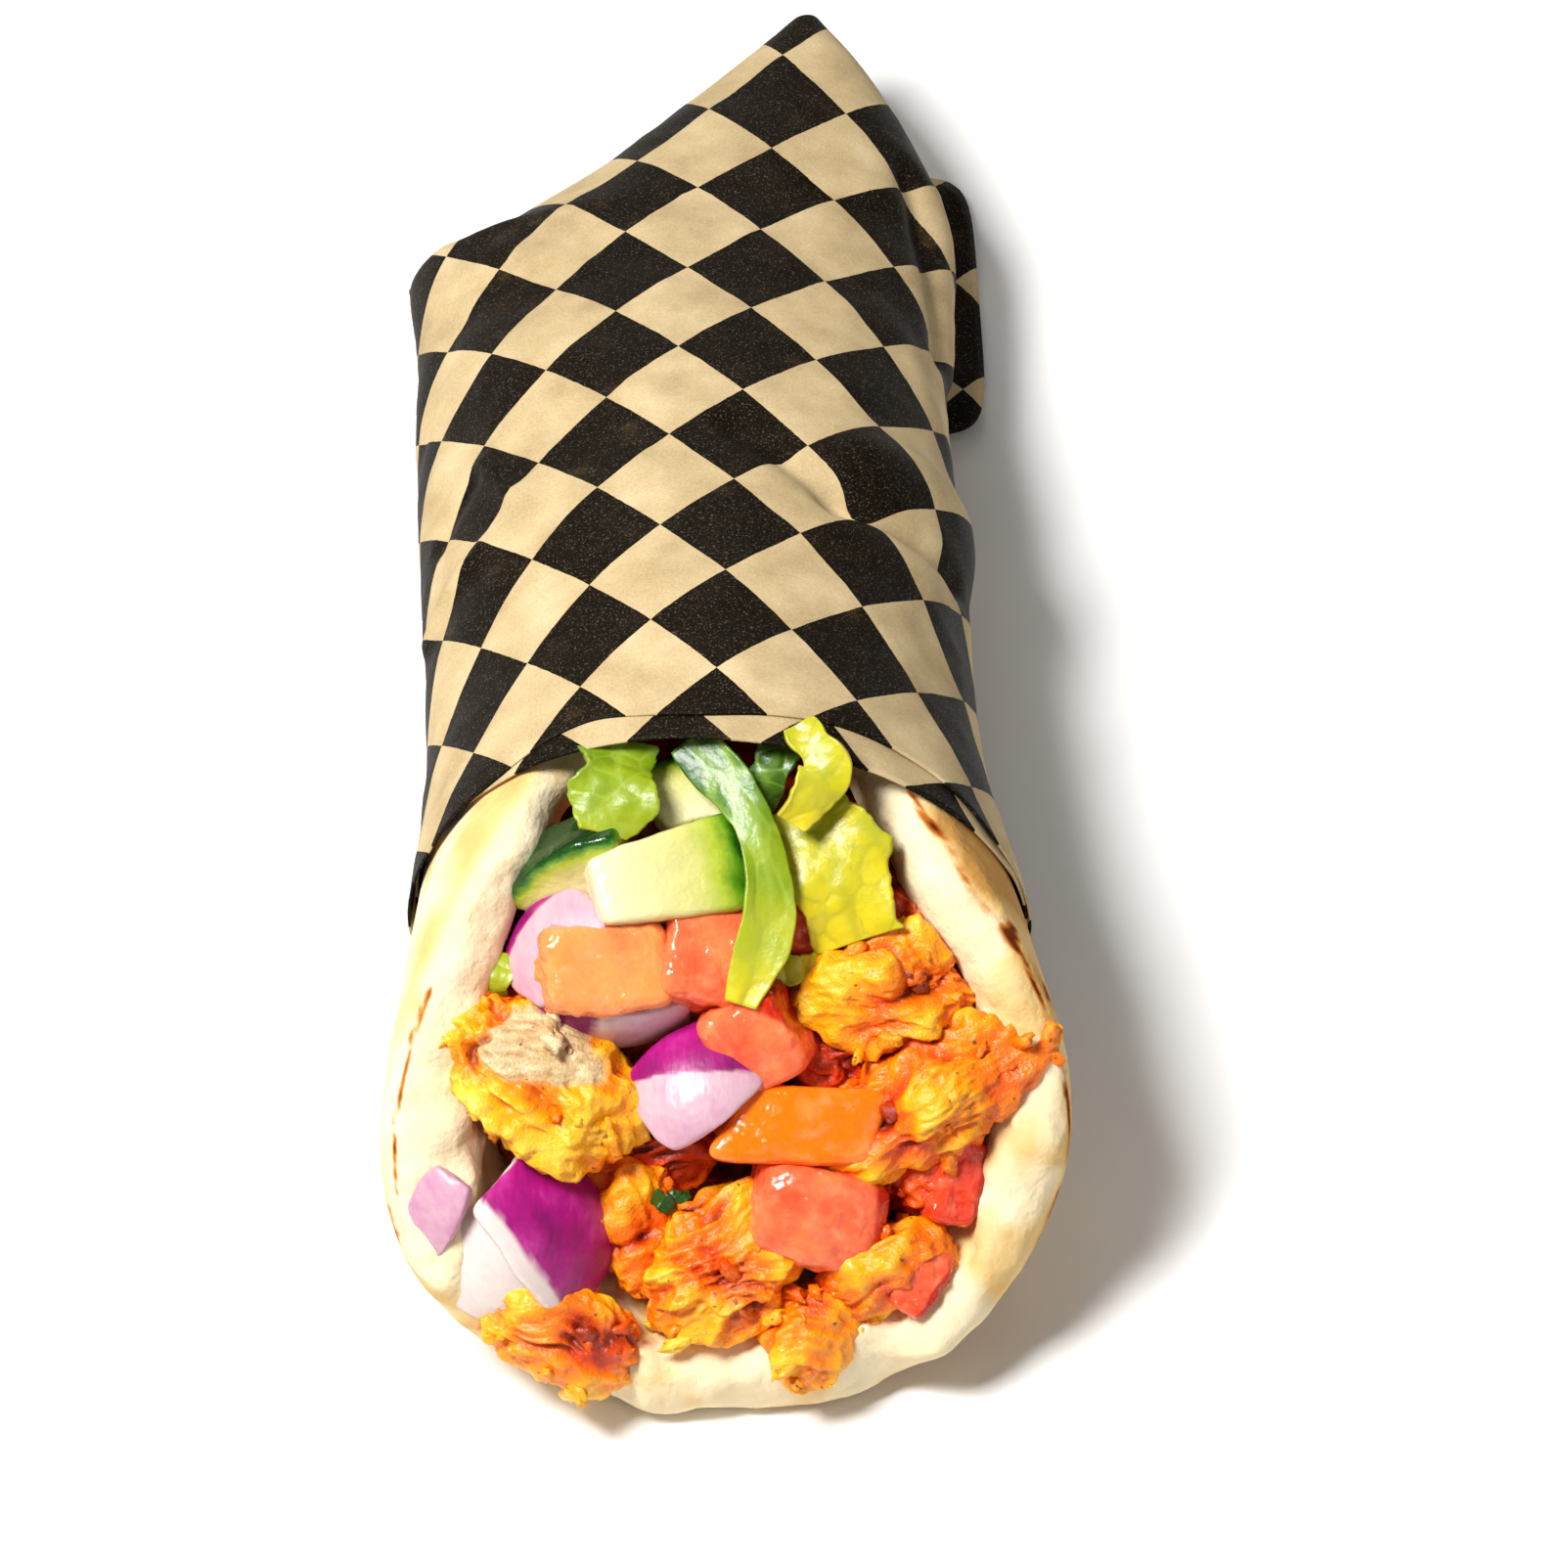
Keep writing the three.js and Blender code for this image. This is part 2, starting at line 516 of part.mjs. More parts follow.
// Each piece gives way to the pita, to the paper and to the pieces in front of it.
const intoMouth = mouth.matrix.clone().invert();
const taken = [pita(CLEARANCE), sleeve(CLEARANCE)].map((g) => toSolid(g.applyMatrix4(intoMouth)));
for (const piece of PIECES) {
  const cut = taken.reduce((solid, other) => solid.subtract(other), placed(piece, 0));
  mouth.add(part(piece.name, toGeometry(largestBody(cut)), COLOURS.get(piece.kind), 0.4));
  taken.push(placed(piece, CLEARANCE));
}

// The packed filling takes the room that is left behind them.
const pieces = taken.slice(2);
const roll = toSolid(core().applyMatrix4(intoMouth));
const packed = pieces.reduce((solid, other) => solid.subtract(other), roll);
mouth.add(part("filling_core", toGeometry(largestBody(packed)), CORE_COLOUR, 0.5));

export default wrap;
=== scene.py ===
# %% [markdown]
# # A gyro wrap in checked paper
#
# A round pita is rolled round a filling of marinated chicken and salad, and a printed sheet of paper
# holds the roll. The solids give every piece its place. Here each of them gets the surface that makes it
# food: the puffed lip, torn meat, wet tomato, veined leaves, and a crisp printed wrapper.
# Everything is worked out in millimetres with numpy and put into meshes in metres.

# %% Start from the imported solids
import bpy
import numpy as np
from mathutils import Matrix, Vector


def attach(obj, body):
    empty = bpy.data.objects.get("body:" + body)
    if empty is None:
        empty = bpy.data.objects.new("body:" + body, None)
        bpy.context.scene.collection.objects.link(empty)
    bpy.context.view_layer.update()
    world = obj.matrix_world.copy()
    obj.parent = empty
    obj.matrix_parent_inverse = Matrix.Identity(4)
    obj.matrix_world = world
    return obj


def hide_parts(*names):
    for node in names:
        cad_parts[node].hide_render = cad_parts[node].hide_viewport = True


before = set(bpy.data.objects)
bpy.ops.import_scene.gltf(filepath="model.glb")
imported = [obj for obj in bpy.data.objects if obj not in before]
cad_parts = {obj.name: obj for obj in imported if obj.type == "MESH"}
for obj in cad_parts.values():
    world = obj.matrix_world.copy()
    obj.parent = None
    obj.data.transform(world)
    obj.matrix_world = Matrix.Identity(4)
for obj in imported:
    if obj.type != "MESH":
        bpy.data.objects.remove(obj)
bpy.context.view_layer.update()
MM = 0.001
print("solids loaded:", len(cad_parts), "nodes")

# %% [markdown]
# ## The camera
#
# The picture was taken from well above, nearly straight on to the open end, with a long lens.
# The lens is given by its focal length in pixels of the picture, so the frame comes out the same at any
# render size. The camera's three axes are written straight into its matrix.

# %% Camera
VIEW_RISE = np.radians(52)
VIEW_ROUND = np.radians(-2.7)
VIEW_DISTANCE = 1350
LOOK_AT = np.array([10.91, -3.9, -2.64])
FOCAL_PIXELS = 10900
IMAGE_WIDTH = 1603
SENSOR = 36

to_camera = np.array([np.sin(VIEW_ROUND) * np.cos(VIEW_RISE), -np.cos(VIEW_ROUND) * np.cos(VIEW_RISE),
                      np.sin(VIEW_RISE)])
to_right = np.array([np.cos(VIEW_ROUND), np.sin(VIEW_ROUND), 0])
to_top = np.cross(to_camera, to_right)

lens = bpy.data.cameras.new("camera")
lens.sensor_width = SENSOR
lens.lens = SENSOR * FOCAL_PIXELS / IMAGE_WIDTH
lens.clip_start = 0.05
lens.clip_end = 20
camera = bpy.data.objects.new("camera", lens)
bpy.context.collection.objects.link(camera)
camera_pose = np.eye(4)
camera_pose[:3, :3] = np.stack([to_right, to_top, to_camera], axis=1)
camera_pose[:3, 3] = (LOOK_AT + to_camera * VIEW_DISTANCE) * MM
camera.matrix_world = Matrix(camera_pose.tolist())
bpy.context.scene.camera = camera
print("camera lens", round(lens.lens, 1), "mm")

# %% [markdown]
# ## Light and floor
#
# The food was lit from the upper left by one large soft source, with enough fill to keep the right side
# readable. Three panels and an even sky do that. The plain view transform keeps the strong colours of
# the filling, which the default film curve would wash out.

# %% Light
SKY_STRENGTH = 0.17
PANELS = {
    "key": ((-0.42, -0.2, 0.88), 0.75, 0.22, 8.3),
    "fill": ((0.6, -0.7, 0.5), 1.0, 0.6, 1.2),
    "back": ((-0.1, 0.9, 0.6), 1.0, 0.5, 1.7),
}


def light_panel(name, towards, distance, width, power):
    """A square area light at a distance along a direction from the origin, facing back to it."""
    lamp = bpy.data.lights.new(name, "AREA")
    lamp.size = width
    lamp.energy = power
    holder = bpy.data.objects.new(name, lamp)
    bpy.context.collection.objects.link(holder)
    direction = Vector(towards).normalized()
    facing = direction.to_track_quat("Z", "Y").to_matrix().to_4x4()
    holder.matrix_world = Matrix.Translation(direction * distance) @ facing
    return holder


for name, (towards, distance, width, power) in PANELS.items():
    light_panel(name, towards, distance, width, power)

sky = bpy.data.worlds.new("sky")
sky.use_nodes = True
sky.node_tree.nodes["Background"].inputs["Color"].default_value = (1, 0.985, 0.96, 1)
sky.node_tree.nodes["Background"].inputs["Strength"].default_value = SKY_STRENGTH
bpy.context.scene.world = sky
bpy.context.scene.view_settings.view_transform = "Standard"
print("light panels:", len(PANELS))

# %% [markdown]
# ## Finishes
#
# A finish here is one Principled shader with colours and bumps worked out by nodes. The little class
# below keeps the node wiring readable: `grain` is noise at a size in millimetres, `mark` reads a number
# that a piece's own mesh carries at each point (how deep a crevice is, where the skin is), and `ramp`
# turns a number into a colour. Screen colours are turned into the linear light that shaders work in.

# %% Finish builder
def colour(red, green, blue):
    """Linear light of a screen colour from 0 to 255, by the standard screen curve."""
    screen = np.array([red, green, blue]) / 255
    linear = np.where(screen <= 0.04045, screen / 12.92, ((screen + 0.055) / 1.055) ** 2.4)
    return (*linear.tolist(), 1.0)


class Finish:
    """A material under construction: its Principled shader and short ways to feed it."""

    def __init__(self, name):
        self.material = bpy.data.materials.new(name)
        self.material.use_nodes = True
        self.tree = self.material.node_tree
        self.shader = self.tree.nodes["Principled BSDF"]
        self.place = self.tree.nodes.new("ShaderNodeTexCoord").outputs["Object"]

    def feed(self, socket, value):
        if isinstance(value, bpy.types.NodeSocket):
            self.tree.links.new(value, socket)
        else:
            socket.default_value = value

    def node(self, kind, inputs, settings=None, out=0):
        made = self.tree.nodes.new(kind)
        for key, value in (settings or {}).items():
            setattr(made, key, value)
        for key, value in inputs.items():
            self.feed(made.inputs[key], value)
        return made.outputs[out]

    def shine(self, sockets):
        for key, value in sockets.items():
            self.feed(self.shader.inputs[key], value)

    def mark(self, name):
        return self.node("ShaderNodeAttribute", {}, {"attribute_name": name}, "Fac")

    def grain(self, size, detail=3.0, stretch=None):
        """Noise with lumps of about `size` mm, drawn out along an axis where stretch is above 1."""
        where = self.place
        if stretch:
            scale = tuple(1 / s for s in stretch)
            where = self.node("ShaderNodeMapping", {"Vector": where, "Scale": scale})
        inputs = {"Vector": where, "Scale": 1 / (size * MM), "Detail": detail}
        return self.node("ShaderNodeTexNoise", inputs)

    def sum(self, first, second, times=1.0):
        """first + second * times."""
        return self.node("ShaderNodeMath", {0: second, 1: times, 2: first}, {"operation": "MULTIPLY_ADD"})

    def times(self, first, second):
        return self.node("ShaderNodeMath", {0: first, 1: second}, {"operation": "MULTIPLY"})

    def between(self, value, low, high):
        """0 at low, 1 at high, and a smooth step between."""
        inputs = {"Value": value, "From Min": low, "From Max": high}
        return self.node("ShaderNodeMapRange", inputs, {"interpolation_type": "SMOOTHSTEP"})

    def ramp(self, share, *stops):
        made = self.tree.nodes.new("ShaderNodeValToRGB")
        stop_list = made.color_ramp.elements
        while len(stop_list) < len(stops):
            stop_list.new(1.0)
        for stop, (position, tint) in zip(stop_list, stops):
            stop.position = position
            stop.color = tint
        self.feed(made.inputs["Fac"], share)
        return made.outputs["Color"]

    def blend(self, share, under, over, how="MIX"):
        settings = {"data_type": "RGBA", "blend_type": how}
        return self.node("ShaderNodeMix", {0: share, 6: under, 7: over}, settings, 2)

    def bump(self, height, depth, under=None):
        """A bump whose full height stands for `depth` mm, on top of another bump where one is given."""
        inputs = {"Height": height, "Distance": depth * MM, "Strength": 1.0}
        if under:
            inputs["Normal"] = under
        return self.node("ShaderNodeBump", inputs)


# %% Floor
floor_finish = Finish("floor")
floor_tone = floor_finish.grain(60, 2)
floor_finish.shine({
    "Base Color": floor_finish.ramp(floor_tone, (0.3, colour(244, 243, 241)), (0.7, colour(248, 247, 245))),
    "Roughness": 0.6,
})
FLOOR_HALF = 2.5
FLOOR_DROP = 0.0002
floor_mesh = bpy.data.meshes.new("floor")
CORNER_SIGNS = ((-1, -1), (1, -1), (1, 1), (-1, 1))
floor_corners = [(x * FLOOR_HALF, y * FLOOR_HALF, -FLOOR_DROP) for x, y in CORNER_SIGNS]
floor_mesh.from_pydata(floor_corners, [], [(0, 1, 2, 3)])
floor_mesh.materials.append(floor_finish.material)
floor = bpy.data.objects.new("floor", floor_mesh)
bpy.context.collection.objects.link(floor)
print("floor", 2 * FLOOR_HALF, "m wide")

# %% [markdown]
# ## Tools for shapes
#
# Food is never smooth, so most shapes below are a plain form plus relief. The relief is value noise: a
# repeatable random number for each cell corner of a lattice, blended smoothly in between. Summing it at
# halved sizes gives crumbs on lumps, and folding it at zero gives sharp ridges and fibres.

# %% Numbers and noise
def step(value, low, high):
    """0 below low, 1 above high and 3t² - 2t³ between."""
    t = np.clip((value - low) / (high - low), 0, 1)
    return t * t * (3 - 2 * t)


def mix(start, end, share):
    return start + (end - start) * share


def unit(vectors):
    return vectors / np.linalg.norm(vectors, axis=-1, keepdims=True)


def hump(distance, width):
    """A bell: 1 at no distance, falling as exp(-(distance / width)²)."""
    return np.exp(-(distance / width) ** 2)


def cell_random(cells, seed):
    """A repeatable number from 0 to 1 for each whole-number cell: the three coordinates times large odd
    numbers, with the bits of the sum stirred."""
    mixed = (cells @ np.array([374761393, 668265263, 1440662683]) + seed * 1013904223) & 0xFFFFFFFF
    mixed = ((mixed ^ (mixed >> 13)) * 1274126177) & 0xFFFFFFFF
    return ((mixed ^ (mixed >> 16)) & 0xFFFFFF) / 0xFFFFFF


def noise(points, size, seed=0):
    """Smooth noise from -1 to 1: the random numbers of the eight corners of a point's cell, weighted by
    smooth steps of its place in the cell."""
    scaled = points / size
    cell = np.floor(scaled).astype(np.int64)
    share = scaled - cell
    share = share * share * (3 - 2 * share)
    total = np.zeros(points.shape[:-1])
    for corner in np.ndindex(2, 2, 2):
        weight = np.prod(np.where(corner, share, 1 - share), axis=-1)
        total += weight * cell_random(cell + np.array(corner), seed)
    return 2 * total - 1


def layered(points, size, seed=0, layers=4, fade=0.5):
    """Noise at size, half of it and so on, each layer lower by fade."""
    return sum(fade ** k * noise(points, size / 2 ** k, seed + k) for k in range(layers))


def ridged(points, size, seed=0, layers=3):
    """Sharp crests along the lines where the noise crosses zero: 1 - 2|noise|, layered."""
    return sum(0.5 ** k * (1 - 2 * np.abs(noise(points, size / 2 ** k, seed + k))) for k in range(layers))


def nearest_two(points, size, seed=0):
    """Distances to the nearest and second nearest of one random point per cell, in cells."""
    scaled = points / size
    cell = np.floor(scaled).astype(np.int64)
    found = []
    for offset in np.ndindex(3, 3, 3):
        near = cell + np.array(offset) - 1
        spot = near + np.stack([cell_random(near, seed + k) for k in range(3)], axis=-1)
        found.append(np.linalg.norm(spot - scaled, axis=-1))
    found = np.sort(np.stack(found), axis=0)
    return found[0], found[1]


trial_places = np.random.default_rng(1).uniform(0, 90, (4000, 3))
trial_noise = noise(trial_places, 5)
print("noise spans", round(float(trial_noise.min()), 2), "to", round(float(trial_noise.max()), 2))

# %% [markdown]
# ## Meshes and places
#
# Three kinds of grid are enough. An open grid makes a leaf. A grid that closes on itself makes a tube, and
# a fan of triangles closes its end. A cube with each side cut into squares makes every lump and block:
# its points can be pushed out to a ball or kept as a box, and there is no pole anywhere to pinch.
# `piece` turns points and faces into an object under the root and hides the solids of the parts it stands
# for.

# %% Grids and pieces
def grid_quads(rows, columns, closed=False):
    """Corner numbers of the squares of a grid of points, joined round where it is closed."""
    across = columns if closed else columns - 1
    r, c = np.meshgrid(np.arange(rows - 1), np.arange(across), indexing="ij")
    after = (c + 1) % columns
    here, below = r * columns, (r + 1) * columns
    return np.stack([here + c, here + after, below + after, below + c], -1).reshape(-1, 4)


def fan(first, count, pole):
    """Triangles from a closed ring of points to one pole."""
    ring = np.arange(count)
    return np.stack([first + ring, first + (ring + 1) % count, np.full(count, pole)], -1)


def cube_grid(count):
    """Points of a cube from -1 to 1 with count by count squares on each side, and the squares. Points on
    shared edges are merged by their whole-number places."""
    i, j = np.meshgrid(np.arange(count + 1), np.arange(count + 1), indexing="ij")
    sides = []
    for axis in range(3):
        for end in (0, count):
            side = np.empty((count + 1, count + 1, 3), int)
            side[..., axis] = end
            side[..., (axis + 1) % 3] = i if end else j
            side[..., (axis + 2) % 3] = j if end else i
            sides.append(side.reshape(-1, 3))
    places, number = np.unique(np.concatenate(sides), axis=0, return_inverse=True)
    number = number.reshape(6, -1)
    quads = np.concatenate([number[side][grid_quads(count + 1, count + 1)] for side in range(6)])
    return places * 2 / count - 1, quads


def enclosed(points, faces):
    """Six times the volume inside the faces: the sum of the triple products of each face's first three
    corners, with the fourth corner's triangle added for squares."""
    total = 0.0
    for face in faces:
        for last in range(2, face.shape[1]):
            a, b, c = points[face[:, 0]], points[face[:, last - 1]], points[face[:, last]]
            total += np.sum(a * np.cross(b, c))
    return total


def piece(name, points, faces, finish, nodes=(), marks=None, sheet_map=None):
    """Makes an object from points in mm and arrays of faces, turned to face out. marks are numbers kept at
    each point, and sheet_map the print's coordinates at each corner of each face."""
    points = points.reshape(-1, 3)
    if enclosed(points - points.mean(0), faces) < 0:
        faces = [face[:, ::-1] for face in faces]
        if sheet_map is not None:
            sheet_map = [corner[:, ::-1] for corner in sheet_map]
    mesh = bpy.data.meshes.new(name)
    mesh.from_pydata(points * MM, [], [row for face in faces for row in face.tolist()])
    mesh.polygons.foreach_set("use_smooth", np.ones(len(mesh.polygons), bool))
    for mark, values in (marks or {}).items():
        kept = mesh.attributes.new(mark, "FLOAT", "POINT")
        kept.data.foreach_set("value", np.broadcast_to(values, len(points)).astype(np.float32))
    if sheet_map is not None:
        flat = np.concatenate([corner.reshape(-1, 2) for corner in sheet_map])
        mesh.uv_layers.new(name="print").data.foreach_set("uv", flat.astype(np.float32).ravel())
    mesh.materials.append(finish.material)
    made = bpy.data.objects.new(name, mesh)
    bpy.context.collection.objects.link(made)
    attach(made, "root")
    if nodes:
        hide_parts(*nodes)
    return made


def thicken(made, thickness, offset=-1.0):
    """Gives a sheet its thickness in mm with a Solidify modifier, inwards from its faces."""
    wall = made.modifiers.new("thickness", "SOLIDIFY")
    wall.thickness = thickness * MM
    wall.offset = offset
    wall.use_even_offset = False
    return made


def turning(degrees):
    """The matrix that turns about z, then y, then x."""
    x, y, z = np.radians(degrees)
    about_x = np.array([[1, 0, 0], [0, np.cos(x), -np.sin(x)], [0, np.sin(x), np.cos(x)]])
    about_y = np.array([[np.cos(y), 0, np.sin(y)], [0, 1, 0], [-np.sin(y), 0, np.cos(y)]])
    about_z = np.array([[np.cos(z), -np.sin(z), 0], [np.sin(z), np.cos(z), 0], [0, 0, 1]])
    return about_x @ about_y @ about_z


MOUTH_CENTRE = np.array([0.0, -75.0, 30.0])
MOUTH_TURN = turning((43.5, 0, 0))


def from_mouth(points):
    """Places given on the sloping face of the filling, as points of the part: right, up and out of it."""
    return MOUTH_CENTRE + points @ MOUTH_TURN.T


def placed(points, at, turn):
    return from_mouth(np.array(at) + points @ turning(turn).T)


print("one ball of", len(cube_grid(8)[0]), "points for a grid of 8")

# %% [markdown]
# ## The roll
#
# The pita, the paper and the filling all follow one tapering tube: an ellipse across that is wide at the
# mouth and low at the tail. A point on it is given by its angle round the roll, from the underside, its
# distance along, and its offset from the pita's middle surface. The values repeat the solids' own.

# %% The roll's surface
FRONT_Y = -104.0
TIP_Y = 104.0
PITA_RADIUS = 75.0
PITA_THICK = 9.0
PAPER_THICK = 0.8
CLEARANCE = 0.3
PRESSED_FLAT = 0.8
MOUTH_HALF_WIDTH = 38.5
SLEEVE_HALF_WIDTH = 28.2
MOUTH_HALF_HEIGHT = 29.0
TAPER_DROP = 16.0
TAPER_RUN = 164.0
TAPER_POWER = 1.6
MOUTH_SHIFT = 0.6
MOUTH_SKEW = 0.035


def flare(y):
    return 1 - step(y, -98, -18)


def half_width(y):
    return mix(SLEEVE_HALF_WIDTH, MOUTH_HALF_WIDTH, flare(y))


def half_height(y):
    return MOUTH_HALF_HEIGHT - TAPER_DROP * np.maximum(0, (y - FRONT_Y) / TAPER_RUN) ** TAPER_POWER


def underlay(y):
    """How far the paper beneath lifts the pita."""
    return (PAPER_THICK + CLEARANCE) * step(y, -65, -55)


def girth(y):
    """Length round the ellipse by Ramanujan's formula."""
    a, b = half_width(y), half_height(y)
    h = ((a - b) / (a + b)) ** 2
    return np.pi * (a + b) * (1 + 3 * h / (10 + np.sqrt(4 - 3 * h)))


def roll_point(angle, y, offset):
    """A point of the tapering tube: the ellipse's point plus offset along its normal, pressed flat where
    it rests on the table, and skewed a little at the mouth."""
    a, b = half_width(y), half_height(y)
    normal = np.stack([np.sin(angle) / a, -np.cos(angle) / b], -1)
    normal = unit(normal)
    x = a * np.sin(angle) + offset * normal[..., 0] + MOUTH_SHIFT * flare(y)
    lift = PITA_THICK / 2 + underlay(y)
    z = np.maximum(b + lift - PRESSED_FLAT - b * np.cos(angle) + offset * normal[..., 1], lift - offset)
    return np.stack([x, y + MOUTH_SKEW * x * flare(y), z], -1)


print("girth at the mouth", round(float(girth(-80.0))), "mm")
print("girth under the paper", round(float(girth(0.0))), "mm")

# %% [markdown]
# ## The pita
#
# The flatbread is a disc with a soft round rim, baked on its outside and pale inside. Rolled, its rim
# becomes the lip of the mouth. It is made as the disc's section turned once round, so that the rim is
# one clean ring of points, and each point is then wrapped onto the roll. Puffs and a few creases change
# the section before it is wrapped. Two marks say where the oven left gold and where it left brown. The
# gold mark also carries painted shade, in noise patches and on the right of the outer face.

# %% Pita finish
pita_finish = Finish("pita_crumb")
# The gold mark is baked gold plus painted shade: the ramp turns its shaded patches a darker gold.
pita_gold_and_shade = pita_finish.sum(pita_finish.mark("gold"), pita_finish.grain(7, 5), 0.45)
pita_cream = pita_finish.ramp(
    pita_gold_and_shade, (0.1, colour(244, 230, 200)), (0.38, colour(238, 216, 172)), (0.7, colour(224, 185, 116)),
    (1.0, colour(194, 142, 74)))
pita_toast = pita_finish.sum(pita_finish.mark("toast"), pita_finish.grain(1.6, 4), 0.35)
pita_brown = pita_finish.ramp(
    pita_toast, (0.30, colour(255, 255, 255)), (0.55, colour(214, 150, 84)), (0.8, colour(122, 62, 24)),
    (1.0, colour(62, 30, 14)))
pita_speck = pita_finish.between(pita_finish.grain(0.9, 1), 0.78, 0.84)
pita_colour = pita_finish.blend(1.0, pita_cream, pita_brown, "MULTIPLY")
pita_colour = pita_finish.blend(pita_finish.times(pita_speck, 0.5), pita_colour, colour(150, 100, 50))
pita_pillows = pita_finish.bump(pita_finish.grain(3.2, 5), 0.65)
pita_finish.shine({
    "Base Color": pita_colour,
    "Roughness": 0.85,
    "Subsurface Weight": 0.08,
    "Subsurface Radius": (1.0, 0.7, 0.4),
    "Subsurface Scale": 0.0015,
    "Specular IOR Level": 0.12,
    "Normal": pita_finish.bump(pita_finish.grain(0.7, 3), 0.1, pita_pillows),
})

# %% Pita shape
PITA_COLUMNS = 450
PITA_FACE_ROWS = 60
PITA_RIM_ROWS = 24
PITA_MIDDLE_Y = FRONT_Y + PITA_RADIUS
PITA_SOFTNESS = 0.09
PITA_RAGGED = 0.9
PUFF_SIZE = 15.0
PUFF_HEIGHT = 0.5
LIP_LUMP = 1.7
LIP_LIMIT = 1.3
# Where the lip is pinched: its place round the disc in degrees, the depth as a share, the width in mm.
LIP_CREASES = (
    (164, 0.45, 2.2), (134, 0.3, 1.6), (-112, 0.35, 2.4), (-121, 0.4, 2.0), (-150, 0.2, 3.0),
    (112, 0.15, 3.0),
)


def pita_section():
    """Radius, offset and rim angle down the disc's section: the inner face from near the middle outwards,
    the half-round rim, and the outer face back to the middle. Rows crowd towards the rim."""
    flat = PITA_RADIUS - PITA_THICK / 2
    outwards = flat * np.linspace(0, 1, PITA_FACE_ROWS + 1)[1:] ** 0.55
    bend = np.linspace(-np.pi / 2, np.pi / 2, PITA_RIM_ROWS + 2)[1:-1]
    radius = np.concatenate([outwards, flat + PITA_THICK / 2 * np.cos(bend), outwards[::-1]])
    inner = np.full(PITA_FACE_ROWS, -PITA_THICK / 2)
    offset = np.concatenate([inner, PITA_THICK / 2 * np.sin(bend), -inner])
    quarter = np.full(PITA_FACE_ROWS, np.pi / 2)
    return radius, offset, np.concatenate([-quarter, bend, quarter])


def pita_points():
    """The disc's points wrapped on the roll: across the disc becomes angle, along it becomes y. Puffs
    deepen the inner side, lumps push the rim out, creases pinch it, and the paper holds the bread in."""
    radius, offset, bend = pita_section()
    turn = np.linspace(-np.pi, np.pi, PITA_COLUMNS, endpoint=False)
    turn, radius = np.meshgrid(turn, radius)
    offset = offset[:, None] + 0 * turn
    bend = bend[:, None] + 0 * turn
    flat_place = np.stack([radius * np.sin(turn), radius * np.cos(turn), offset * 0.6], -1)
    near_rim = step(radius, 40, PITA_RADIUS)
    puff = layered(flat_place, PUFF_SIZE, 5, 3)
    swell = 1 + near_rim * (PITA_SOFTNESS * np.sin(5 * turn + radius / 9) + PUFF_HEIGHT * puff)
    for place, depth, width in LIP_CREASES:
        apart = (turn - np.radians(place)) * radius
        swell -= depth * hump(apart, width) * step(radius, 48, 68)
    swell += near_rim * (0.2 * layered(flat_place, 7, 13, 4) + 0.2 * ridged(flat_place, 8, 17, 3))
    held = 0.6 * step(PITA_MIDDLE_Y + radius * np.cos(turn), -42, -28)
    swell = np.where(offset < 0, swell, 1 + 0.03 * near_rim * puff - held)
    lump = LIP_LUMP * np.cos(bend) * (layered(flat_place, 8, 9, 3) - 0.15) * step(radius, 66, 74)
    ragged = 1 + PITA_RAGGED / PITA_RADIUS * np.sin(7 * turn) * near_rim
    radius = (radius + np.minimum(lump, LIP_LIMIT)) * ragged
    y = PITA_MIDDLE_Y + radius * np.cos(turn)
    angle = 2 * np.pi * radius * np.sin(turn) / girth(y)
    return roll_point(angle, y, offset * swell), turn, bend


def bake_and_shade_marks(points, turn, bend):
    """Gold and brown of the crust, with painted shade added to the gold. Brown follows the shoulder where
    the rim turns to the outside, in patches along it, and dots the outer face. Gold lies over the outer
    face. Painted shade adds more gold in noise patches that stand for the hollows, and over the right of
    the outer face."""
    outside = step(bend, 0.5, 1.4)
    on_right = step(turn, -0.5, 0.5)
    patch = step(layered(points, 9, 21, 3) + 0.4 * on_right, -0.05, 0.45)
    line = mix(0.62, 0.9, on_right) + 0.2 * noise(points, 6, 27) + 0.1 * noise(points, 2.2, 28)
    shoulder = hump(bend - line, mix(0.06, 0.12, on_right)) * patch * (0.7 + 0.4 * noise(points, 2.6, 29))
    upper = step(np.abs(turn), 1.0, 1.6) * (1 - step(np.abs(turn), 2.2, 2.8))
    spot = step(layered(points * np.array([1, 0.5, 1]), 5, 33, 3), 0.55, 0.95)
    toast = np.clip(shoulder * (0.35 + 0.65 * upper) + outside * spot * 0.75, 0, 1)
    # Painted shade: the outer face on the right, away from the light, is painted a darker gold.
    right_side_shade = step(points[..., 0], 10, 40) * outside
    # Painted shade: gold in noise patches that stand for the shade in the bread's hollows.
    hollow_shade = step(-layered(points, 9, 41, 3), 0.15, 0.75)
    gold = 0.06 + 0.45 * outside * step(layered(points, 18, 51, 3), -0.4, 0.5)
    return np.clip(gold + 0.35 * hollow_shade + 0.35 * right_side_shade, 0, 1), toast


